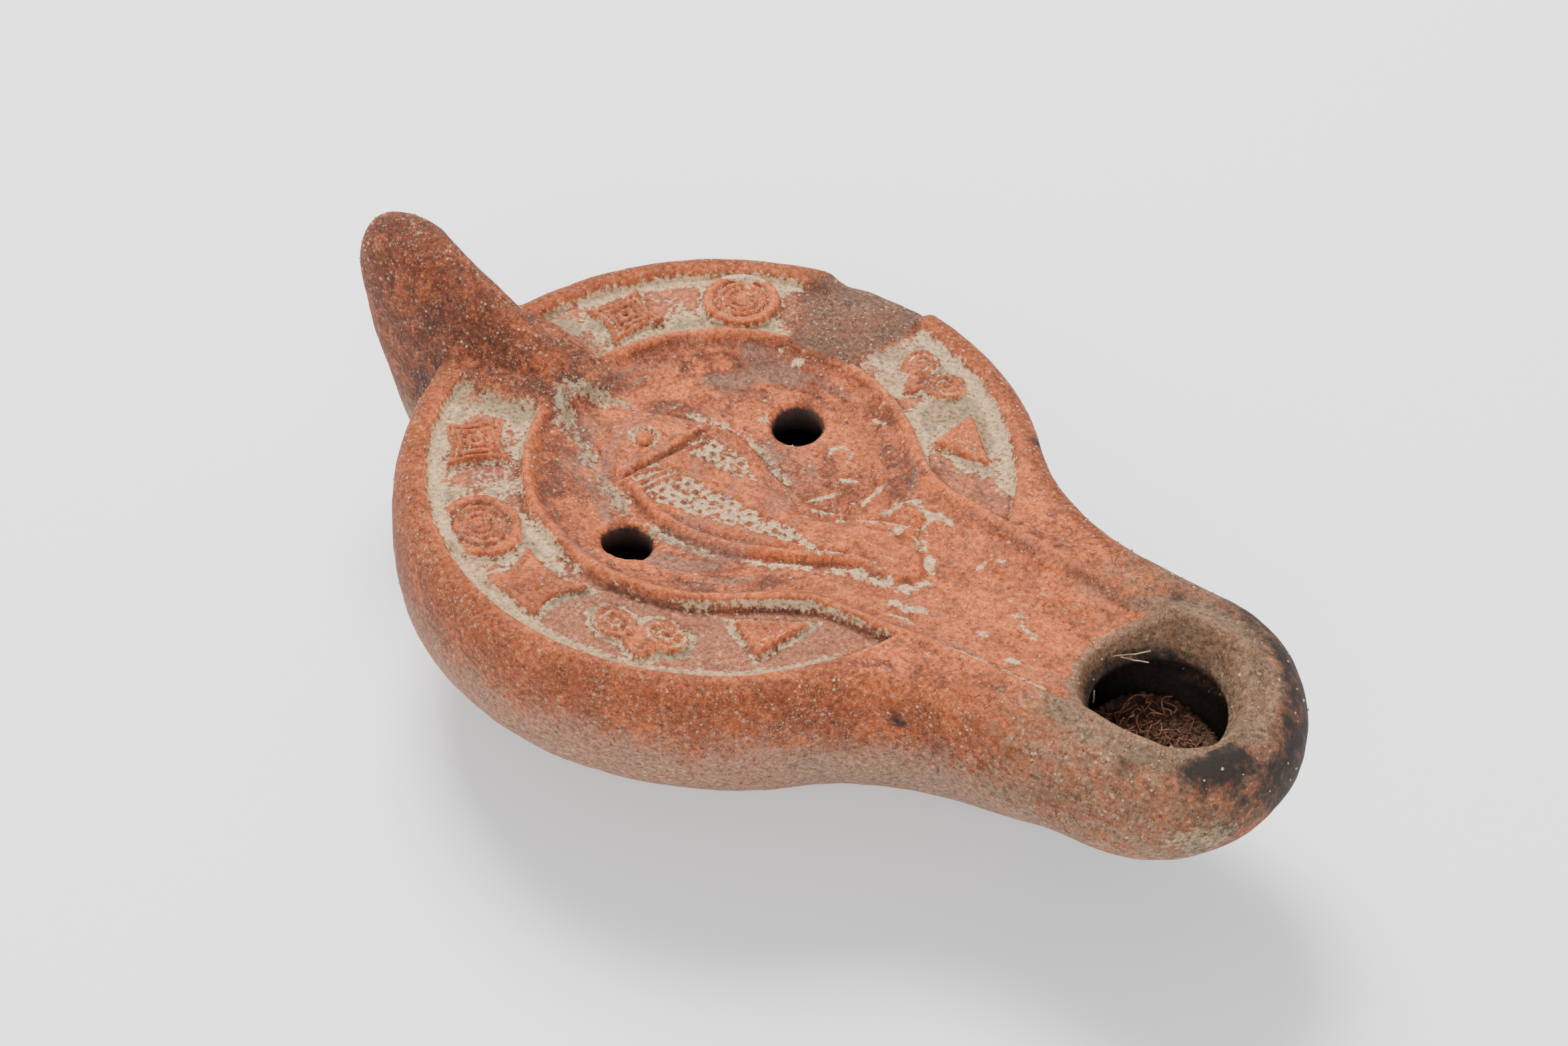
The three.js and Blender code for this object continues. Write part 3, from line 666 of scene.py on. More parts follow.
    def nozzle_rim(self, x: Array, rim: Array, wobble: Array) -> Array:
        """Returns the change of height round the wick hole: a swollen rim, then a slope into the hole."""
        near = smooth((19.0 - rim) / 4.0)
        swell = 0.85 * bump_line(rim - 11.6 - 0.4 * wobble, 2.6)
        swell -= 0.7 * smooth((rim - 12.5) / 3.5) * (x > 58)
        lip = smooth((10.7 + 0.3 * wobble - rim) / 2.3)
        low_side = smooth((63.0 - x) / 6.0)
        return near * swell * (1.0 - 0.75 * low_side) - 3.6 * lip * (1.0 - 0.25 * low_side)

    @staticmethod
    def deposits(x: Array, y: Array, degrees: Array, side: Array, outer: Array, beyond: Array,
                 stamped: Array, halo: Array, groove: Array, fish: dict[str, Array], cloud: Array,
                 ragged: Array) -> tuple[Array, Array, Array]:
        """Where lime and greenish grime lie, and where the floor of the band is bare.

        Args:
            x: places along the lamp.
            y: places across it.
            degrees: angle of each place about the reservoir.
            side: distance outside the inner ridge.
            outer: distance inside the outer edge of the band.
            beyond: 1 on the band.
            stamped: height of the stamps.
            halo: nearness to the outline of a stamp.
            groove: grooves of the stamps.
            fish: the fish's own reliefs and deposits.
            cloud: coarse noise.
            ragged: fine noise.

        Returns:
            Lime, grime and bare floor, from 0 to 1.
        """
        edge = np.minimum(side - 0.7, outer)
        bare = smooth((degrees + 98.0) / 7.0) * smooth(-degrees / 4.0)
        bare = np.maximum(bare, 0.7 * smooth((33.0 - degrees) / 8.0) * (degrees > 0))
        thin = smooth((mix(1.4, 0.55, bare) + 0.6 * cloud - edge) / 0.9)
        full = 0.95 * smooth(0.72 + 1.2 * cloud + 0.3 * ragged)
        traced = np.maximum(thin, 0.9 * halo) * smooth(0.95 + 0.9 * cloud + 0.5 * ragged)
        band = beyond * np.maximum(full * (1.0 - bare), traced) * smooth((0.9 - stamped) / 0.8)
        band = np.maximum(band, beyond * groove * smooth(0.75 + 0.4 * cloud + 0.3 * ragged))
        crisp = 1.1 * bump_line(side - 0.7, 1.0) * smooth(0.75 + cloud + 0.4 * ragged)
        crisp *= smooth(beyond * 4.0)
        crisp *= 1.0 - 0.75 * smooth((degrees + 110.0) / 10.0) * smooth((-62.0 - degrees) / 10.0)
        rim_line = bump_line(outer - 0.9, 1.7) * smooth(1.15 + 0.9 * cloud) * smooth(side)
        rim_line *= smooth((34.0 - x) / 4.0) * smooth((162.0 - np.abs(degrees)) / 6.0)
        depth = fish["depth"]
        low_side = smooth((0.5 - y - 0.2 * x) / 2.0)
        reach = mix(1.6, 2.9, low_side * smooth((2.0 - x) / 6.0))
        rim = bump_line(depth + reach * 0.62, reach) * smooth((16.0 - x) / 5.0)
        rim *= smooth(0.66 + 1.1 * cloud + 0.6 * ragged)
        specks = smooth((ragged - 0.5 + 0.3 * cloud) / 0.25) * smooth(-side)
        edge_line = bump_line(y + 10.2 - 0.08 * (x - 43.0) + 0.4 * ragged, 1.2)
        edge_line *= smooth((x - 38.0) / 3.0) * smooth((58.0 - x) / 3.0)
        lime = np.maximum.reduce([
            band, crisp, 1.35 * rim_line, 0.85 * rim * smooth((0.7 - depth) / 0.6), 0.7 * specks,
            fish["lime"] * smooth(0.85 + ragged), edge_line * smooth(1.0 + cloud + 0.6 * ragged)])
        grime = np.maximum.reduce([
            beyond * smooth((edge - 0.9) / 2.0) * smooth((0.8 - stamped) / 0.6) * smooth(0.3 + 1.5 * cloud),
            rim * smooth((-depth - 0.3) / 1.0), fish["grime"] * smooth(0.75 + 0.9 * cloud + 0.6 * ragged)])
        at_handle = smooth((np.abs(degrees) - 158.0) / 6.0) * beyond
        grime = np.maximum(grime, 0.9 * at_handle)
        lime = np.maximum(lime, 0.75 * at_handle * smooth(0.6 + cloud))
        bare_floor = beyond * np.maximum(bare, 0.6) * smooth((0.8 - stamped) / 0.6)
        return np.maximum(lime, 0.24 * bare_floor), grime, bare_floor


def add_object(name: str, data: bpy.types.ID) -> bpy.types.Object:
    """Returns a new object of the scene."""
    made = bpy.data.objects.new(name, data)
    bpy.context.scene.collection.objects.link(made)
    return made


class MeshStack:
    """Gathers places and faces, then makes one mesh of them."""

    def __init__(self) -> None:
        """Starts empty."""
        self.points: list[Array] = []
        self.faces: list[tuple[int, ...]] = []
        self.count = 0

    def add(self, points: Array) -> int:
        """Adds places and returns the number of the first."""
        first = self.count
        self.points.append(np.asarray(points, float))
        self.count += len(points)
        return first

    def band(self, lower: int, upper: int, size: int) -> None:
        """Adds a row of faces between two rings of the same size."""
        for i in range(size):
            k = (i + 1) % size
            self.faces.append((lower + i, lower + k, upper + k, upper + i))

    def bridge(self, ring: int, size: int, up: bool) -> None:
        """Closes a ring that mirrors itself, from side to side."""
        half = size // 2
        for i in range(half):
            a, b = ring + i, ring + i + 1
            c, d = ring + (size - i - 1) % size, ring + (size - i) % size
            corners = tuple(dict.fromkeys((a, b, c, d)))
            self.faces.append(corners[::-1] if up else corners)

    def mesh(self, name: str) -> bpy.types.Object:
        """Returns an object with the mesh in metres."""
        data = bpy.data.meshes.new(name)
        data.from_pydata((np.vstack(self.points) * MM).tolist(), [], self.faces)
        sheet = bmesh.new()
        sheet.from_mesh(data)
        bmesh.ops.recalc_face_normals(sheet, faces=sheet.faces)
        sheet.to_mesh(data)
        sheet.free()
        return add_object(name, data)


def vertex_places(obj: bpy.types.Object) -> Array:
    """Returns the places of a mesh's vertices in millimetres."""
    co = np.empty(len(obj.data.vertices) * 3)
    obj.data.vertices.foreach_get("co", co)
    return co.reshape(-1, 3) / MM


def set_places(obj: bpy.types.Object, places: Array) -> None:
    """Moves a mesh's vertices to places given in millimetres."""
    obj.data.vertices.foreach_set("co", (places * MM).ravel())
    obj.data.update()


def vertex_normals(obj: bpy.types.Object) -> Array:
    """Returns one outward direction for each vertex of a mesh."""
    normals = np.empty(len(obj.data.vertices) * 3)
    obj.data.vertex_normals.foreach_get("vector", normals)
    return normals.reshape(-1, 3)


def dress(obj: bpy.types.Object, material: bpy.types.Material) -> None:
    """Gives a piece one material all over, and smooth shading."""
    obj.data.materials.clear()
    obj.data.materials.append(material)
    count = len(obj.data.polygons)
    obj.data.polygons.foreach_set("material_index", np.zeros(count, np.int32))
    obj.data.polygons.foreach_set("use_smooth", np.ones(count, bool))
    obj.data.update()


def boolean(obj: bpy.types.Object, tool: bpy.types.Object, operation: str) -> None:
    """Joins or cuts a mesh with a tool, and removes the tool."""
    modifier = obj.modifiers.new(operation, "BOOLEAN")
    modifier.operation = operation
    modifier.solver = "MANIFOLD"
    modifier.object = tool
    settle_modifiers(obj)
    bpy.data.objects.remove(tool)


def settle_modifiers(obj: bpy.types.Object) -> None:
    """Replaces a piece's mesh by the result of its modifiers, and removes them."""
    depsgraph = bpy.context.evaluated_depsgraph_get()
    made = bpy.data.meshes.new_from_object(obj.evaluated_get(depsgraph), depsgraph=depsgraph)
    obj.modifiers.clear()
    old = obj.data
    obj.data = made
    bpy.data.meshes.remove(old)


def edge_ends(obj: bpy.types.Object) -> Array:
    """Returns the two vertices of each edge of a mesh."""
    edges = np.empty(len(obj.data.edges) * 2, np.int32)
    obj.data.edges.foreach_get("vertices", edges)
    return edges.reshape(-1, 2)


def tree_of(places: Array) -> KDTree:
    """Returns a tree that finds the nearest of the places."""
    tree = KDTree(len(places))
    for i, place in enumerate(places.tolist()):
        tree.insert(place, i)
    tree.balance()
    return tree


@dataclass
class LampBody:
    """The fired clay: outside, hollow, holes and handle as one closed mesh."""

    form: LampForm = field(default_factory=LampForm)
    wall_spacing: float = 1.0
    top_spacing: float = 0.32
    hollow_spacing: float = 2.4
    wall_rows: tuple[int, int] = (26, 9)
    hollow_rows: tuple[int, int] = (9, 4)
    drill_reach: tuple[float, float] = (-12.0, 9.0)
    joint_reach: float = 5.0
    joint_rounds: int = 14
    chip_turn: float = 94.5
    chip_half_turn: float = 9.0
    chip_drop: float = 1.35
    chip_r: tuple[float, float] = (27.0, 37.8)
    handle_front: tuple[tuple[float, float], ...] = (
        (-25, -5), (-27, 1), (-34, 6), (-44, 10.8), (-51.9, 15))
    handle_back: tuple[tuple[float, float], ...] = (
        (-34, -27), (-52, -23.5), (-57.2, -14.4), (-59.9, -3), (-62.1, 10.2))
    handle_rows: int = 56
    handle_sides: int = 64
    handle_cap: float = 0.16

    def __post_init__(self) -> None:
        """Prepares the relief of the top."""
        self.relief = TopRelief(self.form)

    def outside(self) -> bpy.types.Object:
        """Returns the outside as a closed mesh, the top finely moulded."""
        stack = MeshStack()
        form = self.form
        rings = form.rings(self.wall_spacing, 0.0, form.foot_step, self.wall_rows)
        size = len(rings[0])
        foot = [self.foot_ring(rings[0], form.foot_r - inset, z)
                for inset, z in ((4.5, 0.9), (3.6, 0.0), (0.7, 0.0), (0.0, 0.6))]
        starts = [stack.add(ring) for ring in foot + rings[1:]]
        stack.bridge(starts[0], size, False)
        for lower, upper in zip(starts, starts[1:]):
            stack.band(lower, upper, size)
        self.close_top(stack, starts[-1], rings[-1])
        return stack.mesh("oil_lamp_clay")

    @staticmethod
    def foot_ring(ring: Array, radius: float, z: float) -> Array:
        """Returns a ring of the foot: round, with its places matched to those of the wall above."""
        angle = np.arctan2(ring[:, 1], ring[:, 0])
        return np.column_stack([radius * np.cos(angle), radius * np.sin(angle), np.full(len(ring), z)])

    def close_top(self, stack: MeshStack, ring_start: int, ring: Array) -> None:
        """Fills the top with a fine grid, and joins the grid to the crest of the shoulder.

        Args:
            stack: the mesh so far.
            ring_start: number of the first place of the crest ring.
            ring: places of the crest ring.
        """
        step = self.top_spacing
        xs = np.arange(ring[:, 0].min(), ring[:, 0].max() + step, step)
        ys = np.arange(-math.ceil(ring[:, 1].max() / step) * step, ring[:, 1].max() + step, step)
        gx, gy = np.meshgrid(xs, ys, indexing="ij")
        shape = gx.shape
        depth = polygon_depth(gx.ravel(), gy.ravel(), ring[::4, :2])
        keep = (depth > step * 1.1).reshape(shape)
        cell = keep[:-1, :-1] & keep[1:, :-1] & keep[:-1, 1:] & keep[1:, 1:]
        used = np.zeros(shape, bool)
        for i, j in ((0, 0), (1, 0), (0, 1), (1, 1)):
            used[i:shape[0] - 1 + i, j:shape[1] - 1 + j] |= cell
        number = np.full(shape, -1)
        number[used] = np.arange(used.sum())
        ux, uy = gx[used], gy[used]
        top = self.relief.sample(ux, uy)
        first = stack.add(np.column_stack([ux, uy, top["z"]]))
        ci, cj = np.nonzero(cell)
        quads = np.column_stack([number[ci + i, cj + j] for i, j in ((0, 0), (1, 0), (1, 1), (0, 1))])
        stack.faces.extend(map(tuple, (quads + first).tolist()))
        self.stitch(stack, ring_start, ring, first, np.column_stack([ux, uy]), quads)

    def stitch(self, stack: MeshStack, ring_start: int, ring: Array, first: int, grid: Array,
               quads: Array) -> None:
        """Fills the strip between the jagged edge of the grid and the crest ring.

        Args:
            stack: the mesh so far.
            ring_start: number of the first place of the crest ring.
            ring: places of the crest ring.
            first: number of the first place of the grid.
            grid: places of the grid in plan.
            quads: faces of the grid.
        """
        edges = np.vstack([quads[:, [k, (k + 1) % 4]] for k in range(4)])
        forward = set(map(tuple, edges.tolist()))
        border = [(a, b) for a, b in forward if (b, a) not in forward]
        names = sorted({a for edge in border for a in edge})
        index = {name: i for i, name in enumerate(names)}
        size = len(ring)
        points = [Vector(p) for p in ring[:, :2].tolist()] + [Vector(grid[name].tolist()) for name in names]
        lines = [(i, (i + 1) % size) for i in range(size)]
        lines += [(size + index[a], size + index[b]) for a, b in border]
        places, _, triangles, origin, *_ = delaunay_2d_cdt(points, lines, [], 0, 1e-6)
        middle = np.array([[places[i][:] for i in tri] for tri in triangles]).mean(axis=1)
        in_ring = polygon_depth(middle[:, 0], middle[:, 1], ring[:, :2]) > 0
        low = grid[quads[:, 0]]
        corner = low.min(axis=0)
        cells = set(map(tuple, np.round((low - corner) / self.top_spacing).astype(int).tolist()))
        spots = np.floor((middle - corner) / self.top_spacing + 1e-6).astype(int).tolist()
        for triangle, spot, wanted in zip(triangles, spots, in_ring):
            ids = [origin[i][0] for i in triangle]
            in_grid = min(ids) >= size and tuple(spot) in cells
            if wanted and not in_grid:
                face = [ring_start + i if i < size else first + names[i - size] for i in ids]
                stack.faces.append(tuple(face))

    def hollow(self) -> bpy.types.Object:
        """Returns the one space inside the reservoir and the nozzle."""
        form, relief = self.form, self.relief

        def roof(at: dict[str, Array]) -> Array:
            """Returns the height of the ceiling, which follows the discus and the channel."""
            low = relief.discus_depth + form.wall - 0.4
            return form.crest(at["x"]) - mix(low, relief.channel_depth + form.wall, at["nozzle"])

        floor_z = form.wall + form.foot_step
        rings = form.rings(self.hollow_spacing, form.wall, floor_z, self.hollow_rows, roof)
        stack = MeshStack()
        starts = [stack.add(ring) for ring in rings]
        stack.bridge(starts[0], len(rings[0]), False)
        for lower, upper in zip(starts, starts[1:]):
            stack.band(lower, upper, len(rings[0]))
        stack.bridge(starts[-1], len(rings[0]), True)
        return stack.mesh("hollow")

    @staticmethod
    def round_tool(x: float, y: float, r: float, ends: list[float], sides: int) -> bpy.types.Object:
        """Returns a closed upright cylinder at x and y, from one height to another."""
        stack = MeshStack()
        angle = np.linspace(0, 2 * math.pi, sides, endpoint=False)
        plan = [x + r * np.cos(angle), y + r * np.sin(angle)]
        low, high = [stack.add(np.column_stack([*plan, np.full(sides, z)])) for z in ends]
        stack.band(low, high, sides)
        stack.faces += [tuple(range(low, low + sides))[::-1], tuple(range(high, high + sides))]
        return stack.mesh("tool")

    def handle(self) -> bpy.types.Object:
        """Returns the raking fin handle, its root sunk in the wall."""
        top = self.form.crest_z
        front, back = curve_through(self.handle_front, 24), curve_through(self.handle_back, 24)
        rows, around, cap = self.handle_rows, self.handle_sides, self.handle_cap
        stack = MeshStack()
        angle = np.linspace(0, 2 * math.pi, around, endpoint=False)
        starts = []
        for j in range(rows + 1):
            v = 1 - (1 - j / rows) ** 1.5
            spot = v * (len(front) - 1)
            k = min(int(spot), len(front) - 2)
            f = mix(front[k], front[k + 1], spot - k)
            b = mix(back[k], back[k + 1], spot - k)
            close = math.sqrt(max(0.004, 1 - ((v - 1 + cap) / cap) ** 2)) if v > 1 - cap else 1.0
            half, centre = (f - b) * 0.5 * close, (f + b) * 0.5
            thick = (mix(7.6, 4.6, v ** 0.7) + 3.0 * max(0.0, 1.0 - v / 0.4) ** 2) * close
            across, along = np.sin(angle), np.cos(angle)
            starts.append(stack.add(np.column_stack([
                centre[0] + half[0] * along, thick * across, top + centre[1] + half[1] * along])))
        for lower, upper in zip(starts, starts[1:]):
            stack.band(upper, lower, around)
        stack.faces.append(tuple(range(starts[0], starts[0] + around)))
        stack.faces.append(tuple(range(starts[-1], starts[-1] + around))[::-1])
        return stack.mesh("handle")

    def build(self) -> bpy.types.Object:
        """Returns the finished lamp with its masks as vertex attributes."""
        form = self.form
        lamp = self.outside()
        LOG.info("outside: %d vertices", len(lamp.data.vertices))
        self.chip(lamp)
        body_tree = tree_of(vertex_places(lamp))
        handle = self.handle()
        handle_tree = tree_of(vertex_places(handle))
        boolean(lamp, handle, "UNION")
        self.soften_joint(lamp, body_tree, handle_tree)
        self.roughen(lamp)
        boolean(lamp, self.hollow(), "DIFFERENCE")
        rim = form.crest_z + form.nozzle_rise
        holes = [(form.wick_x, 0.0, form.wick_r, rim, 96)]
        holes += [(*hole, form.crest_z, 64) for hole in form.filling_holes]
        for x, y, r, z, sides in holes:
            ends = [z + reach for reach in self.drill_reach]
            boolean(lamp, self.round_tool(x, y, r, ends, sides), "DIFFERENCE")
        self.paint(lamp)
        LOG.info("lamp: %d vertices", len(lamp.data.vertices))
        return lamp

    def chip(self, lamp: bpy.types.Object) -> None:
        """Breaks the far shoulder, where the ridge and one stamp are gone."""
        p = vertex_places(lamp)
        low = self.chip_level(p[:, 0], p[:, 1])
        p[:, 2] = np.where((p[:, 2] > low) & (p[:, 2] > self.form.crest_z - 8.0), low, p[:, 2])
        set_places(lamp, p)

    def chip_level(self, x: Array, y: Array) -> Array:
        """Returns the height of the broken surface of the far shoulder, far above the lamp elsewhere."""
        r = np.hypot(x, y)
        turn = np.degrees(np.arctan2(y, x)) - self.chip_turn
        plan = np.column_stack([x, y])
        rough = 0.35 * layered_noise(plan, 3.0, 61) + 0.16 * layered_noise(plan, 0.9, 62, 2)
        outward = np.maximum(r - self.chip_r[1], 0.0)
        inward = np.maximum(self.chip_r[0] - r, 0.0)
        edge = np.maximum(np.abs(turn + 2.0 * lattice_noise(plan, 4.0, 63)) - self.chip_half_turn, 0.0)
        level = self.form.crest_z - self.chip_drop
        return level - 0.42 * outward + 0.8 * edge ** 1.2 + inward * 0.8 + rough

    def soften_joint(self, lamp: bpy.types.Object, body: KDTree, handle: KDTree) -> None:
        """Fills the corner between the handle and the wall, as wet clay does when it is wiped."""
        p = vertex_places(lamp)
        normals = vertex_normals(lamp)
        near = (p[:, 0] < -16.0) & (p[:, 2] > 2.0)
        spots = np.nonzero(near)[0]
        away = np.array([max(body.find(p[i])[2], handle.find(p[i])[2]) for i in spots])
        push = 0.26 * self.joint_reach * np.clip(1.0 - away / self.joint_reach, 0.0, 1.0) ** 2
        p[spots] += normals[spots] * push[:, None]
        set_places(lamp, p)
        weight = np.zeros(len(p))
        weight[spots] = smooth(1.0 - away / 2.6)
        self.relax(lamp, weight, self.joint_rounds)

    @staticmethod
    def relax(lamp: bpy.types.Object, weight: Array, rounds: int) -> None:
        """Moves vertices towards the middle of their neighbours, as far as weight allows."""
        edges = edge_ends(lamp)
        edges = edges[(weight[edges] > 0).any(axis=1)]
        p = vertex_places(lamp)
        for _ in range(rounds):
            total = np.zeros_like(p)
            count = np.zeros(len(p))
            for a, b in ((0, 1), (1, 0)):
                np.add.at(total, edges[:, a], p[edges[:, b]])
                np.add.at(count, edges[:, a], 1)
            ok = count > 0
            p[ok] += (total[ok] / count[ok, None] - p[ok]) * 0.6 * weight[ok, None]
        set_places(lamp, p)

    def roughen(self, lamp: bpy.types.Object) -> None:
        """Gives the outside the uneven surface of worn, hand-finished clay."""
        p = vertex_places(lamp)
        normals = vertex_normals(lamp)
        lifted = smooth((p[:, 2] - 0.2) / 2.0)
        wall = smooth((self.form.crest(p[:, 0]) - 1.2 - p[:, 2]) / 2.0)
        push = 0.32 * lattice_noise(p, 17.0, 5) * wall
        push += 0.10 * layered_noise(p, 4.2, 7) + 0.055 * layered_noise(p, 1.5, 9, 2)
        push += 0.11 * wall * layered_noise(p, 2.4, 8, 3)
        turn = np.degrees(np.arctan2(p[:, 1], p[:, 0]))
        bulge = smooth(1.0 - np.abs(turn + 122.0) / 45.0) * smooth(1.0 - np.abs(p[:, 2] - 15.0) / 13.0)
        push += 0.9 * wall * bulge
        p += normals * (push * lifted)[:, None]
        set_places(lamp, p)

    def paint(self, lamp: bpy.types.Object) -> None:
        """Stores where lime, soot, wear, painted shade in the hollow and elsewhere, and painted highlights
        lie, as vertex attributes.
        """
        p = vertex_places(lamp)
        form = self.form
        x, y, z = p.T
        top = self.relief.sample(x, y)
        over = z - top["z"]
        at = form.stations(2.0)
        crest_inset = mix(form.shoulder_inset, form.nozzle_inset, at["nozzle"])
        depth = polygon_depth(x, y, form.ring(at, crest_inset, 0.0)[:, :2])
        on_top = smooth((over + 1.3) / 0.6) * smooth((1.4 - over) / 0.6) * smooth((depth + 0.6) / 0.8)
        rim = np.hypot(x - form.wick_x, y)
        normals = vertex_normals(lamp)
        middle = np.column_stack([np.clip(x, 0, form.wick_x), 0 * y, 0 * z + 20.0])
        outward = np.einsum("ij,ij->i", normals, p - middle)
        under = z < form.crest_z - 4.2
        inside = under & ((outward < 0) | (rim < form.wick_r + 0.4)) & (depth > 0)
        for hx, hy, hr in form.filling_holes:
            inside |= (np.hypot(x - hx, y - hy) < hr + 0.25) & (z < form.crest_z - 2.9)
        noise = layered_noise(p, 6.0, 75)
        broken = smooth((z - self.chip_level(x, y) + 0.5) / 0.4) * (np.abs(x) < 15) * (y > 22) * (z > 22)
        broken = np.maximum(broken, self.scuffed(x, y, noise) * on_top)
        handle = smooth((over - 0.6) / 1.5) * smooth((-x - 22.0) / 4.0)
        handle = np.maximum(handle, top["handle"] * on_top * 0.8)
        handle = np.maximum(handle, smooth((-x - 44.5) / 2.0))
        channel = on_top * smooth((x - 20.0) / 8.0) * smooth((-0.6 - self.relief.hollow_side(x, y)) / 2.0)
        channel *= smooth((62.0 - x) / 4.0)
        ash = 0.62 * smooth((x - 44.0 + 5.0 * noise) / 18.0) * smooth((z - 18.0 + 4.0 * noise) / 9.0)
        on_rim = smooth((17.0 + noise - rim) / 3.5) * smooth((z - 27.0) / 3.0)
        ash = np.maximum(ash, 0.95 * on_rim) * (1.0 - channel * smooth((rim - 10.4) / 2.0))
        around = np.degrees(np.arctan2(y, x - form.wick_x))
        cracked = blot(around, z, (-38.0, 26.5), (24.0, 4.0), 1.2, 0.4 * noise) * smooth((x - 60.0) / 6.0)
        wall = (1.0 - on_top) * (1.0 - handle)
        low = smooth((32.0 + 3.0 * noise - z) / 13.0) * (1.0 - on_top)
        low *= 1.0 - handle * smooth((z - 12.0) / 14.0)
        # Painted shade along the top of the wall, under the crest of the shoulder, patchy.
        shoulder = 0.8 * smooth((z - 23.0) / 6.0) * wall * smooth(0.62 + 0.9 * noise)
        lap = self.hollowness(lamp, 2)
        lit_end = smooth((x - 66.0) / 6.0) * (rim < 13.0) * smooth((z - 24.0) / 6.0)
        dusty = (0.16 + 0.16 * smooth((26.0 - z) / 14.0)) * wall + 0.14 * handle
        lime = top["lime"] * on_top * (1.0 - broken) * (1.0 - 0.6 * ash)
        masks = {
            "lime": np.maximum.reduce([lime, 0.7 * cracked, dusty * (1.0 - inside)]),
            "salmon": top["salmon"] * on_top * (1.0 - broken),
            # Painted shade in recesses and painted highlights on convex edges, from the curvature of the
            # surface.
            "cavity": np.clip(lap * 14.0, 0, 1) * (1.0 - inside),
            "edge": np.clip(-lap * 9.0, 0, 1) * (1.0 - inside),
            "grime": mix(0.55 + 0.3 * noise, top["grime"], on_top),
            "rubbed": top["rubbed"] * on_top,
            "streak": mix(0.5, top["streak"], on_top),
            "broken": broken,
            # Painted shade over the inside of the lamp, lighter at the lit end below the wick hole.
            "hollow": inside * (1.0 - 0.62 * lit_end),
            "bright": channel * smooth((58.0 - x) / 3.0 + 1.0),
            # Darker brown on the handle and the fish's dots, plus painted shade in the trough and along the
            # top of the wall.
            "dark": np.maximum.reduce([handle, 0.9 * top["dots"] * on_top, top["trough"] * on_top,
                                       shoulder]),
            "ash": ash,
            "low": low,
            "coarse": np.clip(wall + 0.8 * handle + ash + broken + 0.5 * top["salmon"] * on_top, 0, 1),
            "soot": self.soot(p),
            "grit": self.grit(p, normals, top["lime"] * on_top, wall, handle) * (1.0 - inside),
        }
        for name, values in masks.items():
            attribute = lamp.data.attributes.new(name, "FLOAT", "POINT")
            attribute.data.foreach_set("value", np.clip(values, 0, 1).astype(np.float32))

    @staticmethod
    def grit(p: Array, normals: Array, lime: Array, wall: Array, handle: Array) -> Array:
        """Returns where loose lime grains cling: on the lime, and thinly on the walls that face up."""
        patchy = smooth(0.3 + 1.6 * layered_noise(p, 5.0, 87))
        upward = smooth((normals[:, 2] + 0.2) / 0.5)
        grit = 0.55 * lime + (0.4 * wall + 0.5 * handle + 0.3) * upward * patchy
        return np.clip(grit, 0, 1) * smooth((p[:, 2] - 3.0) / 3.0)

    @staticmethod
    def hollowness(lamp: bpy.types.Object, rounds: int) -> Array:
        """Returns how far the middle of each vertex's neighbours lies above it, in millimetres."""
        edges = edge_ends(lamp)
        p = vertex_places(lamp)
        count = np.bincount(edges.ravel(), minlength=len(p))[:, None]

        def spread(values: Array) -> Array:
            """Returns the mean of each vertex's neighbours."""
            total = np.zeros_like(values)
            for a, b in ((0, 1), (1, 0)):
                for column in range(values.shape[1]):
                    total[:, column] += np.bincount(edges[:, a], values[edges[:, b], column], len(values))
            return total / np.maximum(count, 1)

        lap = np.einsum("ij,ij->i", spread(spread(p)) - p, vertex_normals(lamp))[:, None]
        for _ in range(rounds):
            lap = spread(lap)
        return lap[:, 0]

    @staticmethod
    def scuffed(x: Array, y: Array, noise: Array) -> Array:
        """Returns where the band is bare and grey beside the chip, in over the inner ridge."""
        r = np.hypot(x, y)
        turn = np.degrees(np.arctan2(y, x))
        span = np.minimum(turn - 82.0, 109.0 - turn) / 57.3 * r
        return smooth((span + 2.5 * noise + 0.8) / 3.5) * smooth((r - 23.0 + 3.0 * noise) / 5.0)

    def soot(self, p: Array) -> Array:
        """Returns how black the clay is, from the flame of the wick and from old fires, with painted shade
        on the inner slope of the wick hole.
        """
        x, y, z = p.T
        form = self.form
        rim = np.hypot(x - form.wick_x, y)
        noise = layered_noise(p, 3.0, 71)
        angle = np.degrees(np.arctan2(y, x - form.wick_x))
        patch = blot(angle, rim, (-31.0, 14.6), (27.0, 3.3), 1.3, 0.4 * noise)
        patch *= smooth((rim - 11.6) / 1.2) * smooth((z - 24.0) / 4.0)
        dust = 0.3 * smooth((rim - 10.5) / 1.5) * smooth((17.5 - rim) / 2.0)
        dust *= smooth((angle + 40.0) / 30.0) * (z > 26)
        flank = 0.85 * blot(angle, z, (45.0, 27.5), (75.0, 9.0), 1.6, 0.4 * noise)
        flank *= smooth((rim - 13.2) / 2.2)
        smudge = 0.65 * blot(angle, rim, (-76.0, 14.8), (12.0, 2.6), 1.1, 0.5 * noise)
        ring = smooth((rim - 13.4) / 1.5) * smooth((18.6 - rim) / 2.0) * smooth((angle + 5.0) / 20.0)
        ring *= smooth(0.45 + noise * 1.2) * smooth((125.0 - angle) / 20.0)
        side = smooth((x - 38.0) / 10.0) * (y > 10) * smooth((z - 27.0) / 3.0) * smooth(noise * 1.4 + 0.1)
        stain = blot(x, z, (43.2, 30.0), (2.2, 2.2), 1.2, 0.8 * noise) * (y < -15)
        spot = 0.7 * blot(x, y, (31.0, 28.0), (3.0, 2.5), 1.0, 0.6 * noise)
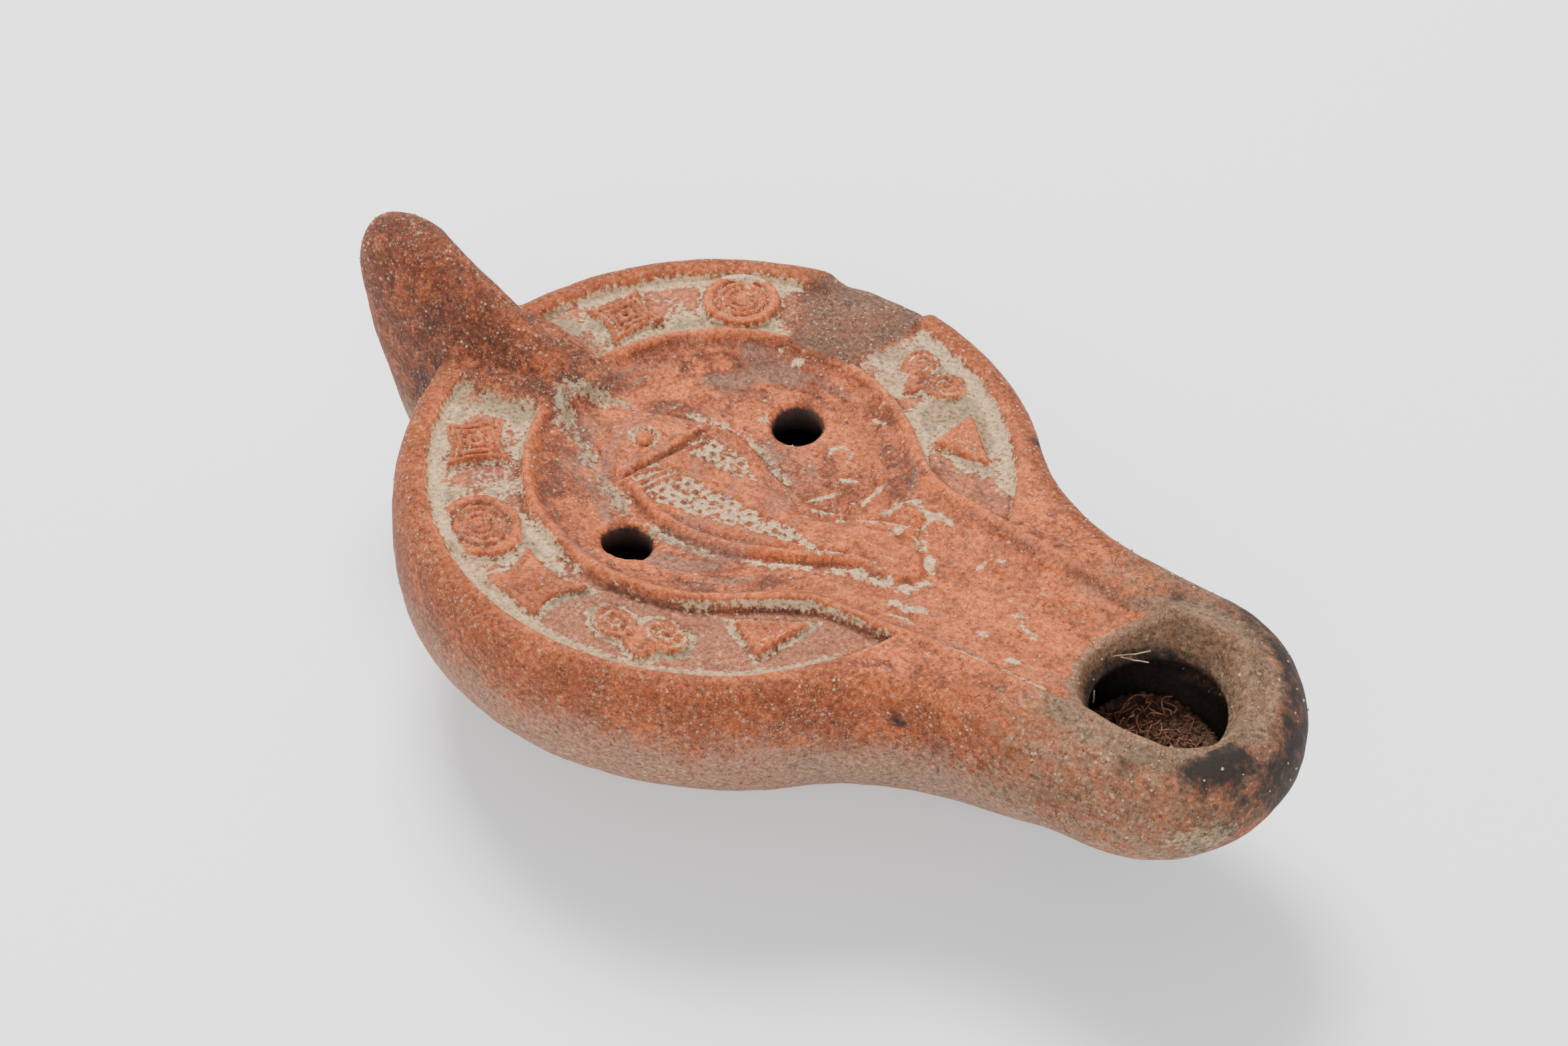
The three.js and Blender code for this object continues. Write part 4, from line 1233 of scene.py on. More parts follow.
        # Soot down the inner slope of the wick hole, with painted shade where the slope faces away from the
        # light, stronger on the handle side.
        lip = smooth((10.3 - rim) / 1.6) * smooth((form.crest_z - 1.0 - z) / 2.0)
        lip *= 0.5 + 0.5 * smooth((70.0 - x) / 8.0)
        return np.maximum.reduce([patch, dust, flank, smudge, 0.75 * ring, 0.6 * side, 0.9 * stain, spot,
                                  0.8 * lip])


def rgba(red: float, green: float, blue: float) -> Color:
    """Returns a colour with full cover."""
    return (red, green, blue, 1.0)


class NodeSheet:
    """Short ways to add nodes to a shader tree or group."""

    def __init__(self, tree: bpy.types.NodeTree) -> None:
        """Works on one tree."""
        self.tree = tree

    def node(self, kind: str, links: dict[str | int, object], **settings: object) -> bpy.types.Node:
        """Adds a node, sets its properties, and links or stores its inputs by name or number."""
        made = self.tree.nodes.new(kind)
        for name, value in settings.items():
            setattr(made, name, value)
        for key, value in links.items():
            self.put(made.inputs[key], value)
        return made

    def put(self, socket: bpy.types.NodeSocket, value: object) -> None:
        """Links a value to a socket, or stores it there."""
        if isinstance(value, bpy.types.NodeSocket):
            self.tree.links.new(value, socket)
        else:
            socket.default_value = value

    def noise(self, place: object, scale: float, detail: float = 4.0, rough: float = 0.55,
              warp: float = 0.0) -> bpy.types.NodeSocket:
        """Returns the value of a noise texture."""
        return self.node("ShaderNodeTexNoise", {
            "Vector": place, "Scale": scale, "Detail": detail, "Roughness": rough, "Distortion": warp,
        }).outputs["Fac"]

    def cells(self, place: object, scale: float) -> bpy.types.Node:
        """Returns a Voronoi texture."""
        return self.node("ShaderNodeTexVoronoi", {"Vector": place, "Scale": scale})

    def step(self, value: object, low: float, high: float, out_low: float = 0.0,
             out_high: float = 1.0) -> bpy.types.NodeSocket:
        """Returns a value remapped smoothly from low..high."""
        return self.node("ShaderNodeMapRange", {
            "Value": value, "From Min": low, "From Max": high, "To Min": out_low, "To Max": out_high,
        }, interpolation_type="SMOOTHSTEP").outputs["Result"]

    def math(self, operation: str, *values: object) -> bpy.types.NodeSocket:
        """Returns the result of a sum, a product or another operation on two or more values."""
        total = values[0]
        for value in values[1:]:
            total = self.node("ShaderNodeMath", {0: total, 1: value}, operation=operation).outputs[0]
        return total

    def about_zero(self, value: object, strength: float) -> bpy.types.NodeSocket:
        """Returns a noise value shifted from 0..1 to lie about zero, times its strength."""
        return self.math("MULTIPLY", self.math("SUBTRACT", value, 0.5), strength)

    def blend(self, share: object, a: object, b: object) -> bpy.types.NodeSocket:
        """Returns two colours blended by share."""
        return self.node("ShaderNodeMix", {"Factor": share, 6: a, 7: b}, data_type="RGBA").outputs[2]

    def layers(self, base: object, *coats: tuple[object, Color]) -> bpy.types.NodeSocket:
        """Returns a colour with coats laid over it in order, each with its share and its colour."""
        for share, color in coats:
            base = self.blend(share, base, color)
        return base

    def scaled(self, vector: object, scale: object) -> bpy.types.NodeSocket:
        """Returns a vector or colour times a value."""
        return self.node("ShaderNodeVectorMath", {0: vector, "Scale": scale}, operation="SCALE").outputs[0]

    def bump(self, shader: bpy.types.Node, strength: float, depth_mm: float, height: object) -> None:
        """Gives a shader fine bumps."""
        bump = {"Strength": strength, "Distance": depth_mm * MM, "Height": height}
        self.put(shader.inputs["Normal"], self.node("ShaderNodeBump", bump).outputs["Normal"])

    def attribute(self, name: str) -> bpy.types.NodeSocket:
        """Returns a vertex attribute's value."""
        return self.node("ShaderNodeAttribute", {}, attribute_name=name).outputs["Fac"]

    def place_mm(self) -> bpy.types.NodeSocket:
        """Returns the place on the piece in millimetres."""
        return self.scaled(self.node("ShaderNodeTexCoord", {}).outputs["Object"], 1.0 / MM)

    def use(self, group: bpy.types.NodeTree, **values: object) -> bpy.types.Node:
        """Adds a group node with its inputs set by name."""
        return self.node("ShaderNodeGroup", dict(values), node_tree=group)


FLOAT, VECTOR, COLOR = "NodeSocketFloat", "NodeSocketVector", "NodeSocketColor"


def shader_group(name: str, inputs: dict[str, str],
                 outputs: dict[str, str]) -> tuple[NodeSheet, bpy.types.NodeOutputs, bpy.types.NodeInputs]:
    """Makes an empty shader group.

    Args:
        name: name of the group.
        inputs: socket types by name.
        outputs: socket types by name.

    Returns:
        The sheet of the group, what goes into it, and what comes out of it.
    """
    tree = bpy.data.node_groups.new(name, "ShaderNodeTree")
    for sockets, way in ((inputs, "INPUT"), (outputs, "OUTPUT")):
        for key, kind in sockets.items():
            tree.interface.new_socket(key, in_out=way, socket_type=kind)
    given, out = tree.nodes.new("NodeGroupInput"), tree.nodes.new("NodeGroupOutput")
    return NodeSheet(tree), given.outputs, out.inputs


@dataclass(frozen=True)
class ClayFinish:
    """Colours of the fired clay and of what lies on it; the soot colour also serves as painted shade in the
    hollow, the brown as painted shade in recesses, and the bright as painted highlights on edges.
    """

    slip: Color = rgba(0.275, 0.068, 0.028)
    bright: Color = rgba(0.64, 0.150, 0.044)
    brown: Color = rgba(0.095, 0.036, 0.024)
    greyed: Color = rgba(0.26, 0.135, 0.095)
    pale: Color = rgba(0.33, 0.230, 0.160)
    salmon: Color = rgba(0.47, 0.185, 0.105)
    ash: Color = rgba(0.27, 0.190, 0.115)
    lime: Color = rgba(0.74, 0.51, 0.285)
    lime_dull: Color = rgba(0.30, 0.21, 0.13)
    lime_clean: Color = rgba(0.92, 0.75, 0.52)
    grime: Color = rgba(0.37, 0.285, 0.165)
    soot: Color = rgba(0.022, 0.019, 0.017)
    chip: Color = rgba(0.19, 0.105, 0.068)
    grain_dark: Color = rgba(0.055, 0.03, 0.022)
    grain_pale: Color = rgba(0.62, 0.42, 0.27)
    roughness: float = 0.82
    specular: float = 0.25


class ClayMaterials:
    """Materials of the lamp, with the effects they share."""

    masks = ("coarse", "rubbed", "streak", "bright", "dark", "lime", "grime", "low", "salmon", "cavity",
             "edge", "ash", "broken", "soot", "hollow")

    def __init__(self, finish: ClayFinish) -> None:
        """Makes the shared groups."""
        self.finish = finish
        self.mottle = self.mottle_group()
        self.crust = self.crust_group()
        self.speckle = self.speckle_group()

    def mottle_group(self) -> bpy.types.NodeTree:
        """Returns the uneven colour of fired clay, from wide clouds down to single grains, with the dark
        mask's painted shade laid on in brown.
        """
        f = self.finish
        inputs = {"Place": VECTOR, **dict.fromkeys(("Rubbed", "Streak", "Bright", "Dark"), FLOAT)}
        s, given, out = shader_group("fired clay", inputs, {"Color": COLOR, "Grain": FLOAT})
        place = given["Place"]
        clouds = s.noise(place, 0.13, 6, 0.68, 0.8)
        patches = s.noise(place, 0.36, 8, 0.72, 0.9)
        flecks = s.noise(place, 2.1, 5, 0.72)
        streak = s.math("ADD", given["Streak"], s.about_zero(flecks, 0.5))
        s.put(out["Color"], s.layers(
            s.blend(s.step(clouds, 0.42, 0.58), f.slip, f.bright),
            (s.step(patches, 0.46, 0.61, 0.0, 0.8), f.brown),
            (s.step(streak, 0.52, 0.82, 0.0, 0.75), f.greyed),
            (s.step(streak, 0.46, 0.2, 0.0, 0.7), f.bright),
            (s.math("MULTIPLY", given["Rubbed"], s.step(flecks, 0.3, 0.62, 0.25, 0.8)), f.bright),
            (s.math("MULTIPLY", given["Bright"], s.step(patches, 0.3, 0.6, 0.9, 0.35)), f.bright),
            # The dark mask brings painted shade as well as darker clay.
            (s.math("MULTIPLY", given["Dark"], s.step(patches, 0.36, 0.56, 0.3, 0.9)), f.brown),
            (s.step(flecks, 0.53, 0.66, 0.0, 0.78), f.brown),
            (s.step(flecks, 0.45, 0.33, 0.0, 0.7), f.pale)))
        s.put(out["Grain"], s.noise(place, 6.0, 4, 0.75))
        return s.tree

    def crust_group(self) -> bpy.types.NodeTree:
        """Returns lime crust: its cover with ragged edges, its colour and its height."""
        f = self.finish
        s, given, out = shader_group("lime crust", {"Place": VECTOR, "Amount": FLOAT, "Grime": FLOAT},
                                     {"Cover": FLOAT, "Color": COLOR, "Height": FLOAT})
        place = given["Place"]
        fine = s.noise(place, 4.5, 4, 0.72)
        torn = s.math("ADD", s.about_zero(s.noise(place, 1.5, 6, 0.7, 0.3), 1.9),
                      s.about_zero(s.noise(place, 0.55, 3), 0.9))
        reach = s.math("ADD", given["Amount"], torn)
        cover = s.math("MULTIPLY", s.step(reach, 0.38, 0.72), s.step(given["Amount"], 0.02, 0.25))
        murk = s.math("ADD", given["Grime"], s.about_zero(fine, 0.9))
        s.put(out["Cover"], cover)
        s.put(out["Color"], s.layers(f.lime, (s.step(murk, 0.3, 0.75, 0.0, 0.9), f.grime),
                                     (s.step(fine, 0.52, 0.75, 0.0, 0.55), f.lime_dull),
                                     (s.step(fine, 0.42, 0.25, 0.0, 0.7), f.lime_clean)))
        s.put(out["Height"], s.math("MULTIPLY", cover, s.step(fine, 0.25, 0.7, 0.4, 1.0)))
        return s.tree

    @staticmethod
    def speckle_group() -> bpy.types.NodeTree:
        """Returns scattered grains: pale ones, dark ones, and how they stand out."""
        s, given, out = shader_group("grains", {"Place": VECTOR, "Density": FLOAT},
                                     {"Pale": FLOAT, "Dark": FLOAT, "Height": FLOAT})
        pale, dark = [], []
        for scale, share in ((2.3, 0.42), (1.15, 0.20), (4.2, 0.5)):
            cells = s.cells(given["Place"], scale)
            split = s.node("ShaderNodeSeparateColor", {0: cells.outputs["Color"]}).outputs
            dot = s.step(cells.outputs["Distance"], 0.42, 0.16)
            wanted = s.math("MULTIPLY", given["Density"], share)
            fewer = s.math("MULTIPLY", wanted, 0.7)
            pale.append(s.math("MULTIPLY", dot, s.math("LESS_THAN", split[0], wanted)))
            dark.append(s.math("MULTIPLY", dot, s.math("LESS_THAN", split[1], fewer)))
        light, shade = s.math("MAXIMUM", *pale), s.math("MAXIMUM", *dark)
        s.put(out["Pale"], light)
        s.put(out["Dark"], shade)
        s.put(out["Height"], s.math("SUBTRACT", light, shade))
        return s.tree

    def start(self, name: str) -> tuple[bpy.types.Material, NodeSheet, bpy.types.Node]:
        """Returns a new material, its sheet and its shader."""
        material = bpy.data.materials.new(name)
        material.use_nodes = True
        shader = material.node_tree.nodes["Principled BSDF"]
        shader.inputs["Roughness"].default_value = self.finish.roughness
        shader.inputs["Specular IOR Level"].default_value = self.finish.specular
        return material, NodeSheet(material.node_tree), shader

    def clay(self) -> bpy.types.Material:
        """Returns worn red clay with lime, soot, chips, a hollow in painted shade, painted shade in recesses
        and painted highlights on edges.
        """
        f = self.finish
        material, s, shader = self.start("fired clay")
        place = s.place_mm()
        mask = {name: s.attribute(name) for name in self.masks}
        coarse = mask["coarse"]
        mottle = s.use(self.mottle, Place=place, Rubbed=mask["rubbed"], Streak=mask["streak"],
                       Bright=mask["bright"], Dark=mask["dark"]).outputs
        clumped = s.step(s.noise(place, 0.3, 5, 0.7), 0.42, 0.62, 0.25, 1.25)
        density = s.math("MULTIPLY", clumped, s.math("ADD", s.math("MULTIPLY", coarse, 0.65), 0.22))
        grains = s.use(self.speckle, Place=place, Density=density).outputs
        crust = s.use(self.crust, Place=place, Amount=mask["lime"], Grime=mask["grime"]).outputs
        medium = s.noise(place, 0.62, 8, 0.74)
        colour = s.layers(
            mottle["Color"],
            (self.ragged(s, mask["low"], medium, 0.9), f.pale),
            # Painted shade in recesses, in brown, and painted highlights on convex edges, in bright orange.
            (s.math("MULTIPLY", mask["salmon"], 0.65), f.salmon),
            (s.math("MULTIPLY", mask["cavity"], 0.75), f.brown),
            (s.math("MULTIPLY", mask["edge"], 0.4), f.bright),
            (self.ragged(s, mask["ash"], medium, 0.8), f.ash),
            (self.ragged(s, mask["broken"], medium, 0.82), f.chip),
            (s.math("MULTIPLY", grains["Dark"], s.step(coarse, 0.0, 1.0, 0.45, 0.7)), f.grain_dark),
            (s.math("MULTIPLY", grains["Pale"], s.step(coarse, 0.0, 1.0, 0.6, 0.62)), f.grain_pale),
            (s.math("MULTIPLY", crust["Cover"], 0.84), crust["Color"]))
        # Soot, then the inside of the lamp in painted shade of the same near-black.
        s.put(shader.inputs["Base Color"], s.layers(
            self.granular(s, place, coarse, colour),
            (self.ragged(s, mask["soot"], medium, 0.96), f.soot),
            (s.math("MULTIPLY", mask["hollow"], 0.9), f.soot)))
        s.put(shader.inputs["Roughness"], s.step(mottle["Grain"], 0.3, 0.7, 0.66, 0.95))
        self.relief(s, shader, place, coarse, crust["Height"], grains["Height"])
        return material

    def plain(self, name: str, dark: Color, light: Color, scale: float) -> bpy.types.Material:
        """Returns a dull material that varies between two colours, with fine bumps."""
        material, s, shader = self.start(name)
        place = s.place_mm()
        colour = s.blend(s.step(s.noise(place, scale, 6, 0.7), 0.4, 0.62), dark, light)
        fine = s.step(s.noise(place, scale * 4.0, 4, 0.7), 0.45, 0.7)
        s.put(shader.inputs["Base Color"], s.blend(fine, colour, dark))
        s.bump(shader, 0.6, 0.3, s.noise(place, 5.0, 5, 0.7))
        return material

    @staticmethod
    def granular(s: NodeSheet, place: object, coarse: object, colour: object) -> bpy.types.NodeSocket:
        """Returns the colour with the light and dark grain of worn clay, stronger where it is coarse."""
        tone = s.step(s.noise(place, 1.5, 9, 0.84), 0.34, 0.66)
        low = s.step(coarse, 0.0, 1.0, 0.42, 0.32)
        high = s.step(coarse, 0.0, 1.0, 1.48, 1.38)
        return s.scaled(colour, s.math("ADD", low, s.math("MULTIPLY", tone, s.math("SUBTRACT", high, low))))

    @staticmethod
    def ragged(s: NodeSheet, amount: object, noise: object, most: float) -> bpy.types.NodeSocket:
        """Returns a mask with its soft edge broken up by noise."""
        reach = s.math("ADD", amount, s.about_zero(noise, 1.8))
        return s.math("MULTIPLY", s.step(reach, 0.15, 0.95, 0.0, most), s.step(amount, 0.0, 0.3))

    @staticmethod
    def relief(s: NodeSheet, shader: bpy.types.Node, place: object, coarse: object, crust: object,
               grains: object) -> None:
        """Adds pores, grains and the thickness of the crust as fine bumps."""
        pit = s.step(s.cells(place, 1.7).outputs["Distance"], 0.05, 0.2)
        rough = s.math("MULTIPLY", s.noise(place, 2.4, 7, 0.75), s.step(coarse, 0.0, 1.0, 0.35, 0.95))
        parts = ((s.noise(place, 9.0, 3, 0.7), 0.14), (pit, 0.10), (crust, 0.2), (grains, 0.09))
        total = s.math("ADD", rough, *(s.math("MULTIPLY", part, share) for part, share in parts))
        s.bump(shader, 0.85, 0.6, total)


class GeometrySheet(NodeSheet):
    """One Geometry Nodes modifier: its tree, its named inputs, and the mesh it gives."""

    SOCKETS = {float: "NodeSocketFloat", int: "NodeSocketInt"}

    def __init__(self, name: str, **inputs: object) -> None:
        """Starts a tree with a geometry input and one input for each given value."""
        super().__init__(bpy.data.node_groups.new(name, "GeometryNodeTree"))
        self.values = inputs
        face = self.tree.interface
        face.new_socket("Geometry", in_out="INPUT", socket_type="NodeSocketGeometry")
        self.ids = {key: face.new_socket(key, in_out="INPUT", socket_type=self.kind(value)).identifier
                    for key, value in inputs.items()}
        face.new_socket("Geometry", in_out="OUTPUT", socket_type="NodeSocketGeometry")
        self.given = self.tree.nodes.new("NodeGroupInput").outputs
        self.out = self.tree.nodes.new("NodeGroupOutput")

    def kind(self, value: object) -> str:
        """Returns the socket type that holds a value."""
        if isinstance(value, bpy.types.Object):
            return "NodeSocketObject"
        if isinstance(value, bpy.types.Material):
            return "NodeSocketMaterial"
        return self.SOCKETS[type(value)]

    def apply(self, source: bpy.types.Object, result: bpy.types.NodeSocket, name: str) -> bpy.types.Object:
        """Runs the tree on an object.

        Args:
            source: the object whose geometry goes in.
            result: the geometry that comes out and takes the input named Material.
            name: name of the new piece.

        Returns:
            A new object with the finished mesh. The source is left as it was.
        """
        coat = {"Geometry": result, "Material": self.given["Material"]}
        done = self.node("GeometryNodeSetMaterial", coat)
        self.put(self.out.inputs[0], done.outputs[0])
        modifier = source.modifiers.new(self.tree.name, "NODES")
        modifier.node_group = self.tree
        for key, value in self.values.items():
            modifier[self.ids[key]] = value
        graph = bpy.context.evaluated_depsgraph_get()
        mesh = bpy.data.meshes.new_from_object(source.evaluated_get(graph), depsgraph=graph)
        source.modifiers.remove(modifier)
        mesh.name = name
        return add_object(name, mesh)


def strewn(name: str, ground: bpy.types.Object, grain: bpy.types.Object, material: bpy.types.Material,
           density: float, size: float, seed: int, mask: str) -> bpy.types.Object:
    """Strews grains over a surface.

    Args:
        name: name of the new piece.
        ground: what the grains lie on.
        grain: one grain, 1 mm across.
        material: what the grains are made of.
        density: grains on a square metre where the mask is 1.
        size: size of the largest grains in millimetres.
        seed: any whole number.
        mask: vertex attribute of the ground that says where grains lie.

    Returns:
        The grains as one piece.
    """
    sheet = GeometrySheet(name, Density=density, Size=size, Seed=seed, Grain=grain, Material=material)
    given = sheet.given
    share = sheet.node("GeometryNodeInputNamedAttribute", {"Name": mask}, data_type="FLOAT")
    wanted = sheet.math("MULTIPLY", given["Density"], share.outputs["Attribute"])
    points = sheet.node("GeometryNodeDistributePointsOnFaces", {
        "Mesh": given["Geometry"], "Density": wanted, "Seed": given["Seed"]})
    shape = sheet.node("GeometryNodeObjectInfo", {"Object": given["Grain"]})
    turn = sheet.node("FunctionNodeRandomValue", {"Max": (6.3, 6.3, 6.3), "Seed": given["Seed"]},
                      data_type="FLOAT_VECTOR")
    spread = sheet.node("FunctionNodeRandomValue", {2: 0.25, 3: 1.0}, data_type="FLOAT")
    placed = sheet.node("GeometryNodeInstanceOnPoints", {
        "Points": points.outputs["Points"], "Instance": shape.outputs["Geometry"],
        "Rotation": turn.outputs[0], "Scale": sheet.math("MULTIPLY", spread.outputs[1], given["Size"])})
    real = sheet.node("GeometryNodeRealizeInstances", {"Geometry": placed.outputs["Instances"]})
    return sheet.apply(ground, real.outputs[0], name)


def threads(name: str, lines: list[Array], radius: float, material: bpy.types.Material) -> bpy.types.Object:
    """Returns thin round threads along lines given in millimetres."""
    data = bpy.data.meshes.new(name + " lines")
    places, edges = [], []
    for line in lines:
        first = len(places)
        places += [tuple(p * MM) for p in line]
        edges += [(first + i, first + i + 1) for i in range(len(line) - 1)]
    data.from_pydata(places, edges, [])
    source = add_object(data.name, data)
    sheet = GeometrySheet(name, Radius=radius * MM, Steps=24, Material=material)
    given = sheet.given
    curve = sheet.node("GeometryNodeMeshToCurve", {"Mesh": given["Geometry"]})
    even = sheet.node("GeometryNodeResampleCurve", {"Curve": curve.outputs[0], "Count": given["Steps"]})
    ring = sheet.node("GeometryNodeCurvePrimitiveCircle", {"Resolution": 6, "Radius": given["Radius"]})
    tube = sheet.node("GeometryNodeCurveToMesh", {
        "Curve": even.outputs[0], "Profile Curve": ring.outputs["Curve"], "Fill Caps": True})
    made = sheet.apply(source, tube.outputs[0], name)
    bpy.data.objects.remove(source)
    return made


@dataclass
class WickSoil:
    """Soil with crumbs, fibres and root hairs left in the bottom of the wick chamber."""

    centre: tuple[float, float] = (66.3, 0.0)
    radius: float = 8.6
    bottom: float = 20.6
    top: float = 22.6
    crumbs: float = 3.2e6
    crumb_size: float = 0.9
    fibres: int = 90
    fibre_r: float = 0.11
    hair_r: float = 0.09
    hairs: tuple[tuple[tuple[float, float, float], ...], ...] = (
        ((59.5, 1.6, 32.6), (59.8, 3.4, 31.4), (60.8, 4.9, 31.0), (62.2, 6.1, 31.5)),
        ((60.0, 2.6, 31.9), (61.0, 4.2, 30.6), (62.6, 5.2, 30.4)),
        ((60.6, -4.6, 32.4), (60.9, -5.0, 31.4), (60.7, -4.7, 30.4)),
    )

    def mound(self) -> bpy.types.Object:
        """Returns the heap itself, closed and flat underneath."""
        stack = MeshStack()
        sides, rings = 64, 18
        turns = np.arange(sides) * 2 * math.pi / sides
        starts = []
        for k in range(rings + 2):
            share = max(1.0 - max(k - 1, 0) / rings, 0.02)
            r = share * self.radius * (1.0 + 0.06 * np.sin(turns * 3 + 1.0))
            plan = np.column_stack([self.centre[0] + r * np.cos(turns), self.centre[1] + r * np.sin(turns)])
            rough = 0.9 * layered_noise(plan, 3.0, 91) + 0.35 * layered_noise(plan, 0.8, 92)
            slope = 0.16 * (plan[:, 0] - self.centre[0])
            swell = (rough + slope) * min(1.0, 0.4 + 0.2 * k)
            starts.append(stack.add(np.column_stack([plan, self.top + swell if k else 0 * r + self.bottom])))
        for lower, upper in zip(starts, starts[1:]):
            stack.band(lower, upper, sides)
        stack.bridge(starts[0], sides, False)
        stack.bridge(starts[-1], sides, True)
        mound = stack.mesh("wick_soil")
        mask = mound.data.attributes.new("strewn", "FLOAT", "POINT")
        mask.data.foreach_set("value", (vertex_places(mound)[:, 2] > self.bottom + 0.6).astype(np.float32))
        return mound

    def hair_lines(self) -> list[Array]:
        """Returns the root hairs as smooth lines."""
        lines = []
        for hair in self.hairs:
            p = np.array(hair)
            flat = curve_through([(i * 4.0, z) for i, z in enumerate(p[:, 2])], 8)
            share = np.linspace(0, len(p) - 1, len(flat))
            plan = curve_through([tuple(q) for q in p[:, :2]], 8)
            lines.append(np.column_stack([plan, np.interp(share, np.arange(len(p)), p[:, 2])]))
        return lines

    def fibre_lines(self) -> list[Array]:
        """Returns short bent lines lying in all directions on the heap."""
        rng = np.random.default_rng(17)
        lines = []
        for _ in range(self.fibres):
            turn, reach = rng.uniform(0, 2 * math.pi), self.radius * 0.8 * math.sqrt(rng.uniform(0, 1))
            plan = self.centre[0] + reach * math.cos(turn), self.centre[1] + reach * math.sin(turn)
            start = np.array([*plan, self.top + rng.uniform(0.1, 1.2)])
            way = rng.normal(size=3) * (1.0, 1.0, 0.45)
            way *= rng.uniform(1.2, 3.2) / np.linalg.norm(way)
            bend = rng.normal(size=3) * 0.5
            line = np.array([start + way * (t - 0.5) + bend * math.sin(math.pi * t)
                             for t in np.linspace(0, 1, 6)])
            away = line[:, :2] - self.centre
            far = np.maximum(np.hypot(*away.T) / (self.radius - 0.5), 1.0)
            line[:, :2] = self.centre + away / far[:, None]
            lines.append(line)
        return lines


def small_grain() -> bpy.types.Object:
    """Returns one lumpy grain, 1 mm across."""
    work = bmesh.new()
    bmesh.ops.create_icosphere(work, subdivisions=1, radius=0.5 * MM)
    for i, vertex in enumerate(work.verts):
        vertex.co *= 0.8 + 0.35 * ((i * 7) % 5) / 4.0
    mesh = bpy.data.meshes.new("grain")
    work.to_mesh(mesh)
    work.free()
    return add_object("grain", mesh)


@dataclass(frozen=True)
class Camera:
    """The photograph's viewpoint, in millimetres and degrees."""

    target: tuple[float, float, float] = (13.67, -4.86, 33.5)
    distance: float = 427.7
    azimuth: float = 35.2199
    elevation: float = 44.1285
    roll: float = 1.508
    lens: float = 76.785

    def add(self) -> None:
        """Adds the camera and makes it the scene's."""
        a, e, r = (math.radians(v) for v in (self.azimuth, self.elevation, self.roll))
        back = Vector((math.sin(a) * math.cos(e), -math.cos(a) * math.cos(e), math.sin(e)))
        right = Vector((math.cos(a), math.sin(a), 0.0))
        up = back.cross(right)
        right, up = right * math.cos(r) + up * math.sin(r), up * math.cos(r) - right * math.sin(r)
        place = (Vector(self.target) + back * self.distance) * MM
        data = bpy.data.cameras.new("camera")
        data.lens = self.lens
        data.sensor_width = 36.0
        camera = add_object("camera", data)
        camera.matrix_world = Matrix((*zip(right, up, back, place), (0, 0, 0, 1)))
        bpy.context.scene.camera = camera


@dataclass(frozen=True)
class AreaLight:
    """One soft light: where it stands, what it looks at, its size and its power."""

    name: str
    place: tuple[float, float, float]
    size: float
    power: float
    color: tuple[float, float, float] = (1.0, 1.0, 1.0)
    target: tuple[float, float, float] = (0.015, 0.0, 0.02)

    def add(self) -> None:
        """Adds the light."""
        data = bpy.data.lights.new(self.name, "AREA")
        data.size = self.size
        data.energy = self.power
        data.color = self.color
        light = add_object(self.name, data)
        light.location = self.place
        way = Vector(self.target) - Vector(self.place)
        light.rotation_euler = way.to_track_quat("-Z", "Y").to_euler()


@dataclass
class Studio:
    """Plain pale floor, soft light and the camera."""

    lights: tuple[AreaLight, ...] = (
        AreaLight("key", (-0.4, 0.3, 0.8), 0.4, 17.0, (1.0, 0.985, 0.96)),
        AreaLight("fill", (0.5, -0.75, 0.5), 0.8, 8.5, (0.98, 0.99, 1.0)),
    )
    camera: Camera = Camera()
    sky: Color = rgba(0.9, 0.93, 1.0)
    sky_strength: float = 0.62
    floor_half: float = 1.5
    floor_color: Color = rgba(0.93, 0.93, 0.93)
    floor_glow: float = 0.22
    floor_roughness: float = 0.9

    def build(self) -> None:
        """Adds the floor, the lights and the camera."""
        self.floor()
        for light in self.lights:
            light.add()
        world = bpy.data.worlds.new("studio")
        world.use_nodes = True
        background = world.node_tree.nodes["Background"].inputs
        background["Color"].default_value = self.sky
        background["Strength"].default_value = self.sky_strength
        bpy.context.scene.world = world
        self.camera.add()

    def floor(self) -> None:
        """Adds the floor."""
        data = bpy.data.meshes.new("studio_floor")
        half = self.floor_half
        corners = [(-half, -half, 0), (half, -half, 0), (half, half, 0), (-half, half, 0)]
        data.from_pydata(corners, [], [(0, 1, 2, 3)])
        material = bpy.data.materials.new("studio floor")
        material.use_nodes = True
        shader = material.node_tree.nodes["Principled BSDF"].inputs
        for name, value in (("Base Color", self.floor_color), ("Emission Color", rgba(1.0, 1.0, 1.0)),
                            ("Emission Strength", self.floor_glow), ("Roughness", self.floor_roughness)):
            shader[name].default_value = value
        data.materials.append(material)
        add_object("studio_floor", data)


